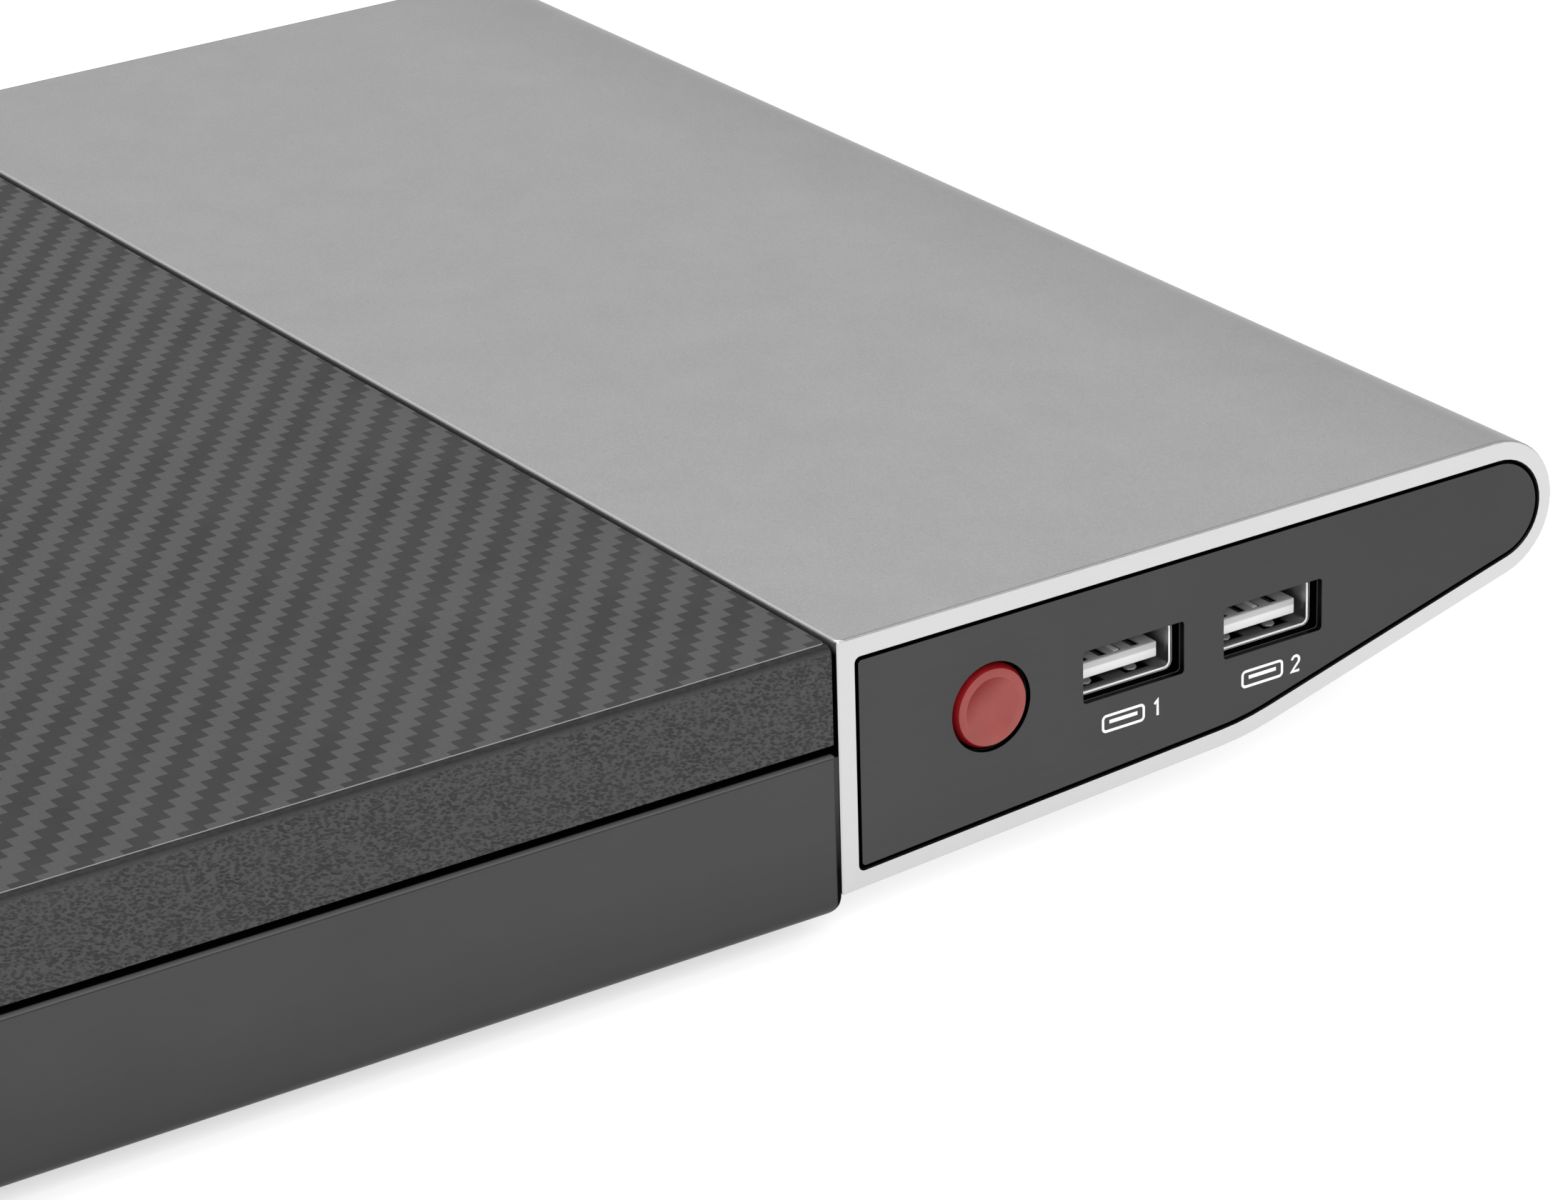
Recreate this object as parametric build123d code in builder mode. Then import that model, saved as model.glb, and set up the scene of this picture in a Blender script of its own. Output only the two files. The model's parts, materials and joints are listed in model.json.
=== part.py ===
from build123d import *
import math
import os

# Desktop video recorder. Millimetres, +Z up, -Y to the front, +X to the right seen from the front.
# The origin is the centre of the whole object's footprint, on the surface that the feet stand on.

os.makedirs("parts", exist_ok=True)

# ---------------------------------------------------------------- driving dimensions
width = 250.0                  # fascia, end to end
fascia_depth = 113.2           # rear plane to nose
fascia_rear_height = 33.93
nose_radius = 9.6
under_slope_rear = 3.42        # degrees, underside near the chassis
under_slope_front = 14.66      # degrees, underside near the nose
kink_radius = 40.0

top_wall = 2.85
rear_wall = 2.65
under_wall = 2.5
inner_nose_radius = 6.86

chassis_depth = 186.0          # fascia's rear plane to the rear panel's outer face
chassis_below_top = 36.4       # fascia's top to the tray's underside
jack_reach = 10.0              # how far the video jacks stand out of the rear panel
foot_height = 4.0
sheet = 1.0

tray_side_x = 124.8
cover_side_x = 124.5
cover_below_top = 0.6
skirt_below_top = 13.6         # lower edge of the cover's skirt
joggle_below_top = 14.5        # where the tray wall steps inwards
film_thickness = 0.15
film_margin = 1.25

# ---------------------------------------------------------------- worked-out planes
half = width / 2
joint_y = -(fascia_depth + chassis_depth + jack_reach) / 2 + fascia_depth
rear_y = joint_y + chassis_depth
floor_z = foot_height
top_z = floor_z + chassis_below_top
cover_z = top_z - cover_below_top
skirt_z = top_z - skirt_below_top
joggle_z = top_z - joggle_below_top
tray_top_z = cover_z - sheet - 0.8
inside_z = floor_z + sheet
slope_rear = math.radians(under_slope_rear)
slope_front = math.radians(under_slope_front)

# ---------------------------------------------------------------- side controls
plate_recess = 0.1
plate_thickness = 1.0
plate_gap = 0.45
carrier_gap = 0.15
carrier_thickness = 2.0
button_t = 22.83               # distances ahead of the rear plane (t) and below the top (h)
button_h = 14.87
button_hole_r = 5.98
button_r = 5.55
button_proud = 0.25
port_ts = (44.88, 67.05)
port_h = 15.0
port_window = (15.86, 7.17)
side_shell_inside = (13.8, 5.8)
side_shell_behind_face = 1.87
side_tongue_size = (12.0, 2.12)
side_tongue_lift = 1.04        # clear height under the tongue
side_tongue_inset = 1.28
side_contact_offsets = (-3.1, -0.3, 2.0, 4.8)
shell_lip = 0.3                # how far the mouth's lip stands out around the shell
shell_sheet = 0.3
shell_length = 14.0
channel_places = ((5.4, 12.5), (5.4, 26.5), (108.2, 9.71))

plate_x = -half + plate_recess
carrier_x = plate_x + plate_thickness
carrier_back_x = carrier_x + carrier_thickness
button_y = joint_y - button_t
button_z = top_z - button_h
port_ys = [joint_y - t for t in port_ts]
port_z = top_z - port_h

# ---------------------------------------------------------------- inside the chassis
board_bottom_z = inside_z + 5.0
board_thickness = 1.6
board_z = board_bottom_z + board_thickness
board_rear_y = rear_y - sheet - 2.0
drive_size = (147.0, 101.6, 26.1)
drive_x0 = -117.0
drive_y0 = joint_y + 7.4
drive_z0 = inside_z + 2.0
fan_side = 25.0
fan_thickness = 10.0
fan_x = 99.0
fan_z = inside_z + 13.6
fan_pitch = 20.0


main_axes = {"X": Axis.X, "Y": Axis.Y, "Z": Axis.Z}


def save(builder, label):
    """Names a finished piece and writes it."""
    builder.part.label = label
    export_step(builder.part, f"parts/{label}.step")


def rear_floor_h(t):
    """Depth of the rear underside below the fascia's top, t ahead of the rear plane."""
    return fascia_rear_height - math.tan(slope_rear) * t


def fascia_outline(top, rear, under, nose_r, corner_r):
    """Wedge outline that far inside the outer faces, as a sketch whose x and y are the object's Y and Z."""
    lift_rear = under / math.cos(slope_rear)
    lift_front = under / math.cos(slope_front)
    outer_apex_t = fascia_depth - nose_radius + nose_radius / math.tan(slope_front / 2)
    front_h0 = math.tan(slope_front) * outer_apex_t
    spread_of_slopes = math.tan(slope_front) - math.tan(slope_rear)
    kink_t = (front_h0 - fascia_rear_height + lift_rear - lift_front) / spread_of_slopes
    kink_h = rear_floor_h(kink_t) - lift_rear
    apex_t = (front_h0 - lift_front - top) / math.tan(slope_front)
    corners = ((rear, top), (apex_t, top), (kink_t, kink_h), (rear, rear_floor_h(rear) - lift_rear))
    with BuildSketch() as outline:
        with BuildLine():
            FilletPolyline(
                [(joint_y - t, top_z - h) for t, h in corners],
                radius=[corner_r, nose_r, kink_radius, corner_r],
                close=True,
            )
        make_face()
    return outline.sketch


def turned(profile, axis):
    """Solid of revolution about "X", "Y" or "Z" through the origin. The profile is (radius, along) points."""
    plane = Plane.XZ if axis == "Z" else Plane.XY
    points = [(a, r) for r, a in profile] if axis == "X" else profile
    with BuildPart() as piece:
        with BuildSketch(plane):
            with BuildLine():
                Polyline(*points, close=True)
            make_face()
        revolve(axis=main_axes[axis])
    return piece.part


def screw(axis, towards, head_r, head_h, shank_r, shank_length, flush=False):
    """Cross-recess screw. Its head seats at 0 and its shank runs along the axis, towards +1 or -1."""
    head = ((0, -head_h), (head_r * 0.7, -head_h), (head_r, -head_h * 0.45), (head_r, 0))
    if flush:
        head = ((0, -head_h), (head_r, -head_h))
    point = shank_length - shank_r * 0.6
    shank = ((shank_r, 0), (shank_r, point), (shank_r * 0.4, shank_length), (0, shank_length))
    body = turned([(r, a * towards) for r, a in head + shank], axis)
    slot = head_r * 1.1
    recess = min(0.9, head_h * 0.6)
    middle = -towards * (head_h - recess / 2)
    with BuildPart() as finished:
        add(body)
        for turn in (0, 90):
            if axis == "X":
                with Locations(Location((middle, 0, 0), (turn, 0, 0))):
                    Box(recess, slot, head_r * 0.22, mode=Mode.SUBTRACT)
            elif axis == "Y":
                with Locations(Location((0, middle, 0), (0, turn, 0))):
                    Box(slot, recess, head_r * 0.22, mode=Mode.SUBTRACT)
            else:
                with Locations(Location((0, 0, middle), (0, 0, turn))):
                    Box(slot, head_r * 0.22, recess, mode=Mode.SUBTRACT)
    return finished.part


def spread(solid, places):
    """Copies of one solid at several places, kept as separate solids."""
    with BuildPart() as group:
        with Locations(*places):
            add(solid)
    return group


def block(x_range, y_range, z_range, mode=Mode.ADD):
    """Box between two corners, in the current part."""
    middle = [(a + b) / 2 for a, b in (x_range, y_range, z_range)]
    size = [b - a for a, b in (x_range, y_range, z_range)]
    with Locations(tuple(middle)):
        Box(*size, mode=mode)


def cylinder_y(x, z, radius, y_range, mode=Mode.ADD):
    """Cylinder along Y between two planes, in the current part."""
    length = y_range[1] - y_range[0]
    with Locations(Location((x, sum(y_range) / 2, z), (90, 0, 0))):
        Cylinder(radius, length, mode=mode)


def cylinder_x(y, z, radius, x_range, mode=Mode.ADD):
    """Cylinder along X between two planes, in the current part."""
    length = x_range[1] - x_range[0]
    with Locations(Location((sum(x_range) / 2, y, z), (0, 90, 0))):
        Cylinder(radius, length, mode=mode)


def cylinder_z(x, y, radius, z_range, mode=Mode.ADD):
    """Cylinder along Z between two planes, in the current part."""
    with Locations((x, y, sum(z_range) / 2)):
        Cylinder(radius, z_range[1] - z_range[0], mode=mode)


def lead(points, bend_radii, diameter):
    """Round lead swept along straight runs and tangent arcs."""
    with BuildPart() as tube:
        with BuildLine() as route:
            FilletPolyline(*points, radius=bend_radii)
        with BuildSketch(Plane(origin=route.line @ 0, z_dir=route.line % 0)):
            Circle(diameter / 2)
        sweep()
    return tube


# ---------------------------------------------------------------- fascia
fascia_screw_xs = (-105.0, -38.0, 38.0, 105.0)
fascia_screw_z = top_z - 18.4
lead_slot_x = (-92.0, -80.0)
lead_slot_z = (top_z - 8.2, top_z - 3.4)
channel_r = 3.2
channel_bore_r = 1.25

outer_outline = fascia_outline(0, 0, 0, nose_radius, 0.3)
inner_outline = fascia_outline(top_wall, rear_wall, under_wall, inner_nose_radius, 0.7)
plate_outline = fascia_outline(
    top_wall + plate_gap, rear_wall + plate_gap, under_wall + plate_gap, inner_nose_radius - plate_gap, 0.5
)
carrier_outline = fascia_outline(
    top_wall + carrier_gap, rear_wall + carrier_gap, under_wall + carrier_gap,
    inner_nose_radius - carrier_gap, 0.6,
)

with BuildPart() as fascia_extrusion:
    with BuildSketch(Plane.YZ.offset(-half)):
        add(outer_outline)
    extrude(amount=width)
    with BuildSketch(Plane.YZ.offset(-half)):
        add(inner_outline)
    extrude(amount=width, mode=Mode.SUBTRACT)
    ends = fascia_extrusion.faces().filter_by(Axis.X)
    chamfer(ends.edges(), 0.18)
    for t, h in channel_places:
        inner_end = half - carrier_gap - carrier_thickness - plate_thickness
        cylinder_x(joint_y - t, top_z - h, channel_r, (-inner_end, inner_end))
    for t, h in channel_places:
        cylinder_x(joint_y - t, top_z - h, channel_bore_r, (-half, half), Mode.SUBTRACT)
        opening = (t, t + channel_r + 1) if t < fascia_depth / 2 else (t - channel_r - 1, t)
        block((-half, half), (joint_y - opening[1], joint_y - opening[0]),
              (top_z - h - 0.7, top_z - h + 0.7), Mode.SUBTRACT)
    for x in fascia_screw_xs:
        cylinder_y(x, fascia_screw_z, 1.3, (joint_y - rear_wall - 1, joint_y + 1), Mode.SUBTRACT)
    block(lead_slot_x, (joint_y - rear_wall - 1, joint_y + 1), lead_slot_z, Mode.SUBTRACT)
save(fascia_extrusion, "fascia_extrusion")

with BuildPart() as left_end_plate:
    with BuildSketch(Plane.YZ.offset(plate_x)):
        add(plate_outline)
    extrude(amount=plate_thickness)
    cylinder_x(button_y, button_z, button_hole_r, (plate_x - 1, plate_x + 2), Mode.SUBTRACT)
    for y in port_ys:
        with BuildSketch(Plane.YZ.offset(plate_x)):
            with Locations((y, port_z)):
                RectangleRounded(port_window[0], port_window[1], 0.5)
        extrude(amount=plate_thickness, mode=Mode.SUBTRACT)
save(left_end_plate, "left_end_plate")

with BuildPart() as right_end_plate:
    with BuildSketch(Plane.YZ.offset(-plate_x - plate_thickness)):
        add(plate_outline)
    extrude(amount=plate_thickness)
save(right_end_plate, "right_end_plate")

# The carriers are screwed to the extrusion's screw channels, and the end plates are glued on them.
shell_top_z = port_z + side_shell_inside[1] / 2 + shell_sheet
side_board_z = (shell_top_z, shell_top_z + 1.6)
carrier_opening = (15.7, 7.0)
guide_inner_r = 6.8
guide_outer_r = 8.0
guide_end_x = carrier_back_x + 5.5
arm_ts = (16.0, 77.6)
arm_end_x = -94.0
arm_screw_xs = (-112.0, -97.0)

with BuildPart() as left_end_carrier:
    with BuildSketch(Plane.YZ.offset(carrier_x)):
        add(carrier_outline)
    extrude(amount=carrier_thickness)
    cylinder_x(button_y, button_z, guide_outer_r, (carrier_back_x, guide_end_x))
    for t in arm_ts:
        block((carrier_back_x, arm_end_x), (joint_y - t - 2.5, joint_y - t + 2.5),
              (side_board_z[1], side_board_z[1] + 4.5))
    cylinder_x(button_y, button_z, guide_inner_r, (carrier_back_x, guide_end_x + 1), Mode.SUBTRACT)
    cylinder_x(button_y, button_z, button_r + 0.1, (carrier_x - 1, carrier_back_x + 1), Mode.SUBTRACT)
    for y in port_ys:
        with BuildSketch(Plane.YZ.offset(carrier_x)):
            with Locations((y, port_z)):
                RectangleRounded(carrier_opening[0], carrier_opening[1], 0.9)
        extrude(amount=carrier_thickness, mode=Mode.SUBTRACT)
    for t, h in channel_places:
        cone_place = Location((carrier_x + carrier_thickness / 2, joint_y - t, top_z - h), (0, 90, 0))
        with Locations(cone_place):
            Cone(2.35, 1.3, carrier_thickness, mode=Mode.SUBTRACT)
    for t in arm_ts:
        for x in arm_screw_xs:
            cylinder_z(x, joint_y - t, 1.0, (side_board_z[1] - 1, side_board_z[1] + 4), Mode.SUBTRACT)
save(left_end_carrier, "left_end_carrier")

with BuildPart() as right_end_carrier:
    with BuildSketch(Plane.YZ.offset(-carrier_back_x)):
        add(carrier_outline)
    extrude(amount=carrier_thickness)
    for t, h in channel_places:
        cone_place = Location((-carrier_x - carrier_thickness / 2, joint_y - t, top_z - h), (0, -90, 0))
        with Locations(cone_place):
            Cone(2.35, 1.3, carrier_thickness, mode=Mode.SUBTRACT)
save(right_end_carrier, "right_end_carrier")

left_carrier_screw = screw("X", 1, 2.3, 1.9, 1.2, 9.0, flush=True)
right_carrier_screw = screw("X", -1, 2.3, 1.9, 1.2, 9.0, flush=True)
with BuildPart() as end_carrier_screws:
    with Locations(*[(carrier_x + 1.95, joint_y - t, top_z - h) for t, h in channel_places]):
        add(left_carrier_screw)
    with Locations(*[(-carrier_x - 1.95, joint_y - t, top_z - h) for t, h in channel_places]):
        add(right_carrier_screw)
save(end_carrier_screws, "end_carrier_screws")

# ---------------------------------------------------------------- power button
cap_top_x = plate_x - button_proud
flange_x = carrier_back_x + 0.1
plunger_x = flange_x + 4.1
switch_x = plunger_x + 3.6
cap_profile = (
    (0, cap_top_x + 0.42), (1.6, cap_top_x + 0.35), (3.0, cap_top_x + 0.18), (4.0, cap_top_x),
    (5.05, cap_top_x), (5.12, cap_top_x + 0.07), (button_r, cap_top_x + 0.85), (button_r, flange_x),
    (6.5, flange_x), (6.5, flange_x + 1.2), (2.2, flange_x + 1.2), (2.2, plunger_x), (0, plunger_x),
)
cap_turned = turned(cap_profile, "X")
with BuildPart() as power_button_cap:
    with Locations((0, button_y, button_z)):
        add(cap_turned)
save(power_button_cap, "power_button_cap")

with BuildPart() as power_switch_plunger:
    cylinder_x(button_y, button_z, 1.7, (plunger_x, switch_x + 3.5))
save(power_switch_plunger, "power_switch_plunger")

with BuildPart() as power_switch_body:
    block((switch_x, switch_x + 7.0), (button_y - 4.0, button_y + 4.0), (button_z - 2.8, side_board_z[0]))
    cylinder_x(button_y, button_z, 1.75, (switch_x - 1, switch_x + 5.2), Mode.SUBTRACT)
save(power_switch_body, "power_switch_body")

# ---------------------------------------------------------------- side port board
board_notch_t = 33.0
side_board_t = (12.0, 81.5)
with BuildPart() as side_port_board:
    block((guide_end_x + 0.4, -92.0), (joint_y - side_board_t[1], joint_y - side_board_t[0]), side_board_z)
    block((carrier_back_x + 0.6, guide_end_x + 0.4), (joint_y - side_board_t[1], joint_y - board_notch_t),
          side_board_z)
    for t in arm_ts:
        for x in arm_screw_xs:
            cylinder_z(x, joint_y - t, 1.3, (side_board_z[0] - 1, side_board_z[1] + 1), Mode.SUBTRACT)
save(side_port_board, "side_port_board")

side_board_screws = spread(
    screw("Z", 1, 2.2, 1.5, 0.95, 5.0),
    [(x, joint_y - t, side_board_z[0]) for t in arm_ts for x in arm_screw_xs],
)
save(side_board_screws, "side_board_screws")



def tube_end(plane, inside):
    """Closed sheet tube that goes back from a lipped mouth on the plane."""
    outside = [size + 2 * shell_sheet for size in inside]
    with BuildPart() as tube:
        with BuildSketch(plane):
            RectangleRounded(outside[0] + 2 * shell_lip, outside[1] + 2 * shell_lip, 1.0)
        extrude(amount=0.2)
        with BuildSketch(plane):
            RectangleRounded(outside[0], outside[1], 0.9)
        extrude(amount=shell_length)
        with BuildSketch(plane):
            RectangleRounded(inside[0], inside[1], 0.6)
        extrude(amount=shell_length - shell_sheet, mode=Mode.SUBTRACT)
    return tube.part


side_mouth_x = plate_x + side_shell_behind_face
side_shell = tube_end(Plane.YZ.offset(side_mouth_x), side_shell_inside)
side_port_shells = spread(side_shell, [(0, y, port_z) for y in port_ys])
save(side_port_shells, "side_port_shells")

side_tongue_x = side_mouth_x + side_tongue_inset
side_tongue_z0 = port_z - side_shell_inside[1] / 2 + side_tongue_lift
side_tongue_z1 = side_tongue_z0 + side_tongue_size[1]
side_root_x = side_mouth_x + shell_length - shell_sheet - 2.5
with BuildPart() as side_port_tongues:
    for y in port_ys:
        block((side_tongue_x, side_root_x), (y - side_tongue_size[0] / 2, y + side_tongue_size[0] / 2),
              (side_tongue_z0, side_tongue_z1))
        block((side_root_x, side_root_x + 2.5), (y - 6.5, y + 6.5), (port_z - 2.7, port_z + 2.7))
save(side_port_tongues, "side_port_tongues")

with BuildPart() as side_port_contacts:
    for y in port_ys:
        for offset_y in side_contact_offsets:
            block((side_tongue_x + 1.0, side_root_x), (y + offset_y - 0.5, y + offset_y + 0.5),
                  (side_tongue_z1, side_tongue_z1 + 0.15))
save(side_port_contacts, "side_port_contacts")

lead_x = sum(lead_slot_x) / 2
lead_z = top_z - 5.4
side_header_y = (joint_y - 52.0, joint_y - 46.0)

# ---------------------------------------------------------------- chassis sheet metal


def bend_trim(corner, inward, radius):
    """What a bend of that radius takes off a square corner. Inward is the (+-1, +-1) way into the solid."""
    start = (corner[0] + inward[0] * radius, corner[1])
    end = (corner[0], corner[1] + inward[1] * radius)
    sag = radius * (1 - math.sqrt(0.5))
    with BuildSketch() as trim:
        with BuildLine():
            ThreePointArc(start, (corner[0] + inward[0] * sag, corner[1] + inward[1] * sag), end)
            Polyline(end, (corner[0] - inward[0], end[1]), (corner[0] - inward[0], corner[1] - inward[1]),
                     (start[0], corner[1] - inward[1]), start)
        make_face()
    return trim.sketch


def pan_solid(inset, extra_height):
    """Solid pan with joggled sides and bent lower edges, that far inside the tray's outer faces."""
    y0 = joint_y + 0.1 + inset
    y1 = rear_y - inset
    z0 = floor_z + inset
    z1 = tray_top_z + extra_height
    low_x = tray_side_x - inset
    high_x = cover_side_x - sheet - 0.2 - inset
    step_z = joggle_z - inset
    side_bend = 1.6 - inset * 0.6
    front_bend = 2.7 - inset
    side_trims = [bend_trim((-low_x, z0), (1, 1), side_bend), bend_trim((low_x, z0), (-1, 1), side_bend)]
    end_trims = [bend_trim((y0, z0), (1, 1), front_bend), bend_trim((y1, z0), (-1, 1), side_bend)]
    with BuildPart() as pan:
        with BuildSketch(Plane.XZ.offset(-y1)):
            with BuildLine():
                FilletPolyline((-low_x, z0), (low_x, z0), (low_x, step_z), (high_x, step_z), (high_x, z1),
                               (-high_x, z1), (-high_x, step_z), (-low_x, step_z),
                               radius=[0, 0, 0.6, 0.3, 0, 0, 0.3, 0.6], close=True)
            make_face()
        extrude(amount=y1 - y0)
        with BuildSketch(Plane.XZ.offset(-y1 - 1)):
            add(side_trims)
        extrude(amount=y1 - y0 + 2, mode=Mode.SUBTRACT)
        with BuildSketch(Plane.YZ.offset(-half)):
            add(end_trims)
        extrude(amount=width, mode=Mode.SUBTRACT)
    return pan.part


# Rear connectors: centre x of each, and the height of its axis or middle.
video_xs = (-110.0, -94.5, -79.0, -63.5)
video_z = board_z + 8.5
audio_x = -50.0
audio_zs = (board_z + 4.6, board_z + 15.6)
analogue_x = -27.0
analogue_z = board_z + 6.3
digital_x = -2.0
digital_z = board_z + 3.2
rear_port_x = 17.0
rear_port_z = board_z + 3.4
network_x = 36.0
network_size = (16.0, 13.4)
terminal_x = 54.5
terminal_size = (14.2, 8.6)
power_x = 70.0
power_z = board_z + 6.2

foot_places = [(x, y) for x in (-105.0, 105.0) for y in (joint_y + 17.4, rear_y - 19.6)]
cover_screw_xs = (-74.0, 0.0, 74.0)
cover_screw_z = cover_z - 3.8
lip_height = 7.4
drive_holes = [
    (drive_x0 + 41.3 + dx, drive_y0 + 3.18 + dy) for dx in (0, 44.45) for dy in (0, 95.25)
]
standoff_places = ((-112.0, 80.0), (-24.0, 80.0), (34.0, 80.0), (66.0, -14.0), (110.0, -14.0), (110.0, 120.0))
fan_holes = [(fan_x + dx, fan_z + dz) for dx in (-fan_pitch / 2, fan_pitch / 2)
             for dz in (-fan_pitch / 2, fan_pitch / 2)]
through_rear = (rear_y - sheet - 1, rear_y + 1)
through_floor = (floor_z - 1, inside_z + 1)
tray_outside = pan_solid(0, 0)
tray_inside = pan_solid(sheet, 2)

with BuildPart() as base_tray:
    add(tray_outside)
    add(tray_inside, mode=Mode.SUBTRACT)
    for x in fascia_screw_xs:
        cylinder_y(x, fascia_screw_z, 1.6, (joint_y - 1, joint_y + 2), Mode.SUBTRACT)
    block(lead_slot_x, (joint_y - 1, joint_y + 2), (lead_slot_z[0], tray_top_z + 1), Mode.SUBTRACT)
    for x, y in foot_places:
        cylinder_z(x, y, 1.5, through_floor, Mode.SUBTRACT)
    for x, y in drive_holes:
        cylinder_z(x, y, 2.0, through_floor, Mode.SUBTRACT)
    for x in cover_screw_xs:
        cylinder_y(x, cover_screw_z, 1.5, through_rear, Mode.SUBTRACT)
    for x in video_xs:
        cylinder_y(x, video_z, 6.6, through_rear, Mode.SUBTRACT)
    for z in audio_zs:
        cylinder_y(audio_x, z, 4.4, through_rear, Mode.SUBTRACT)
    cylinder_y(power_x, power_z, 4.9, through_rear, Mode.SUBTRACT)
    for offset_x in (-12.5, 12.5):
        cylinder_y(analogue_x + offset_x, analogue_z, 2.9, through_rear, Mode.SUBTRACT)
    block((analogue_x - 8.9, analogue_x + 8.9), through_rear, (analogue_z - 4.6, analogue_z + 4.6),
          Mode.SUBTRACT)
    block((digital_x - 7.8, digital_x + 7.8), through_rear, (digital_z - 3.1, digital_z + 3.1), Mode.SUBTRACT)
    block((rear_port_x - 6.9, rear_port_x + 6.9), through_rear, (rear_port_z - 3.2, rear_port_z + 3.2),
          Mode.SUBTRACT)
    block((network_x - network_size[0] / 2 - 0.3, network_x + network_size[0] / 2 + 0.3), through_rear,
          (board_z - 0.3, board_z + network_size[1] + 0.3), Mode.SUBTRACT)
    block((terminal_x - terminal_size[0] / 2 - 0.3, terminal_x + terminal_size[0] / 2 + 0.3), through_rear,
          (board_z - 0.3, board_z + terminal_size[1] + 0.3), Mode.SUBTRACT)
    for x, z in fan_holes:
        cylinder_y(x, z, 1.7, through_rear, Mode.SUBTRACT)
    for ring_r, count in ((0, 1), (3.6, 6), (7.0, 12), (10.4, 18)):
        for step in range(count):
            angle = 2 * math.pi * step / count
            cylinder_y(fan_x + ring_r * math.cos(angle), fan_z + ring_r * math.sin(angle), 1.25,
                       through_rear, Mode.SUBTRACT)
    for x in range(-90, 31, 10):
        block((x - 1.2, x + 1.2), (76.0, 96.0), through_floor, Mode.SUBTRACT)
save(base_tray, "base_tray")

cover_front_y = joint_y + 0.5
lip_y = rear_y + 0.1
with BuildPart() as top_cover:
    block((-cover_side_x, cover_side_x), (cover_front_y, lip_y + sheet), (skirt_z, cover_z))
    top_edges = top_cover.faces().sort_by(Axis.Z)[-1].edges()
    bent_edges = top_edges.filter_by(Axis.Y) + top_edges.filter_by(Axis.X).sort_by(Axis.Y)[-1:]
    fillet(bent_edges, 1.2)
    block((sheet - cover_side_x, cover_side_x - sheet), (cover_front_y - 1, lip_y),
          (skirt_z - 1, cover_z - sheet), Mode.SUBTRACT)
    block((sheet - cover_side_x, cover_side_x - sheet), (lip_y - 1, lip_y + sheet + 1),
          (skirt_z - 1, cover_z - lip_height), Mode.SUBTRACT)
    for x in (-60.0, 60.0):
        block((x - 10, x + 10), (joint_y + 1.4, joint_y + 2.4), (cover_z - sheet - 4.5, cover_z - sheet))
    for x in cover_screw_xs:
        cylinder_y(x, cover_screw_z, 1.6, (lip_y - 1, lip_y + sheet + 1), Mode.SUBTRACT)
save(top_cover, "top_cover")

with BuildPart() as cover_film:
    with BuildSketch(Plane.XY.offset(cover_z)):
        with Locations((0, (cover_front_y + rear_y) / 2)):
            RectangleRounded(2 * (cover_side_x - film_margin), rear_y - cover_front_y - 0.2, 0.6)
    extrude(amount=film_thickness)
save(cover_film, "cover_film")

cover_screws = spread(
    screw("Y", -1, 2.8, 1.7, 1.42, 5.5),
    [(x, lip_y + sheet, cover_screw_z) for x in cover_screw_xs],
)
save(cover_screws, "cover_screws")

fascia_screws = spread(
    screw("Y", -1, 2.7, 1.7, 1.25, 5.0),
    [(x, joint_y + 0.1 + sheet, fascia_screw_z) for x in fascia_screw_xs],
)
save(fascia_screws, "fascia_screws")

# ---------------------------------------------------------------- feet
foot_profile = (
    (2.0, 2.6), (3.9, 2.6), (3.9, 0), (7.4, 0), (8.0, 0.6), (8.8, foot_height), (2.0, foot_height),
)
rubber_feet = spread(turned(foot_profile, "Z"), [(x, y, 0) for x, y in foot_places])
save(rubber_feet, "rubber_feet")

foot_screws = spread(screw("Z", 1, 3.3, 1.6, 1.42, 3.6), [(x, y, 2.6) for x, y in foot_places])
save(foot_screws, "foot_screws")

# ---------------------------------------------------------------- main board
with BuildPart() as main_board:
    with BuildSketch(Plane.XY.offset(board_bottom_z)):
        with BuildLine():
            Polyline((-118, 74), (60, 74), (60, -20), (116, -20), (116, 128), (78, 128),
                     (78, board_rear_y), (-118, board_rear_y), close=True)
        make_face()
    extrude(amount=board_thickness)
    for x, y in standoff_places:
        cylinder_z(x, y, 1.7, (board_bottom_z - 1, board_z + 1), Mode.SUBTRACT)
save(main_board, "main_board")

standoff_profile = ((1.45, 0), (3.0, 0), (3.0, 5.0), (1.45, 5.0))
board_standoffs = spread(turned(standoff_profile, "Z"), [(x, y, inside_z) for x, y in standoff_places])
save(board_standoffs, "board_standoffs")

board_screws = spread(screw("Z", -1, 2.7, 1.6, 1.4, 5.5), [(x, y, board_z) for x, y in standoff_places])
save(board_screws, "board_screws")

processor_place = (88.0, 48.0)
processor_height = 2.2
memory_places = [(x, y, board_z + 0.55) for x in (76.0, 98.0) for y in (82.0, 96.0)]
video_chip_places = [(x, 104.0, board_z + 0.6) for x in (-100.0, -76.0)]
with BuildPart() as board_chips:
    with Locations((*processor_place, board_z + processor_height / 2)):
        Box(27, 27, processor_height)
    chamfer(board_chips.faces().sort_by(Axis.Z)[-1].edges(), 0.4)
    with Locations(*memory_places):
        Box(13.0, 8.0, 1.1)
    with Locations(*video_chip_places):
        Box(12.0, 12.0, 1.2)
save(board_chips, "board_chips")

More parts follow.
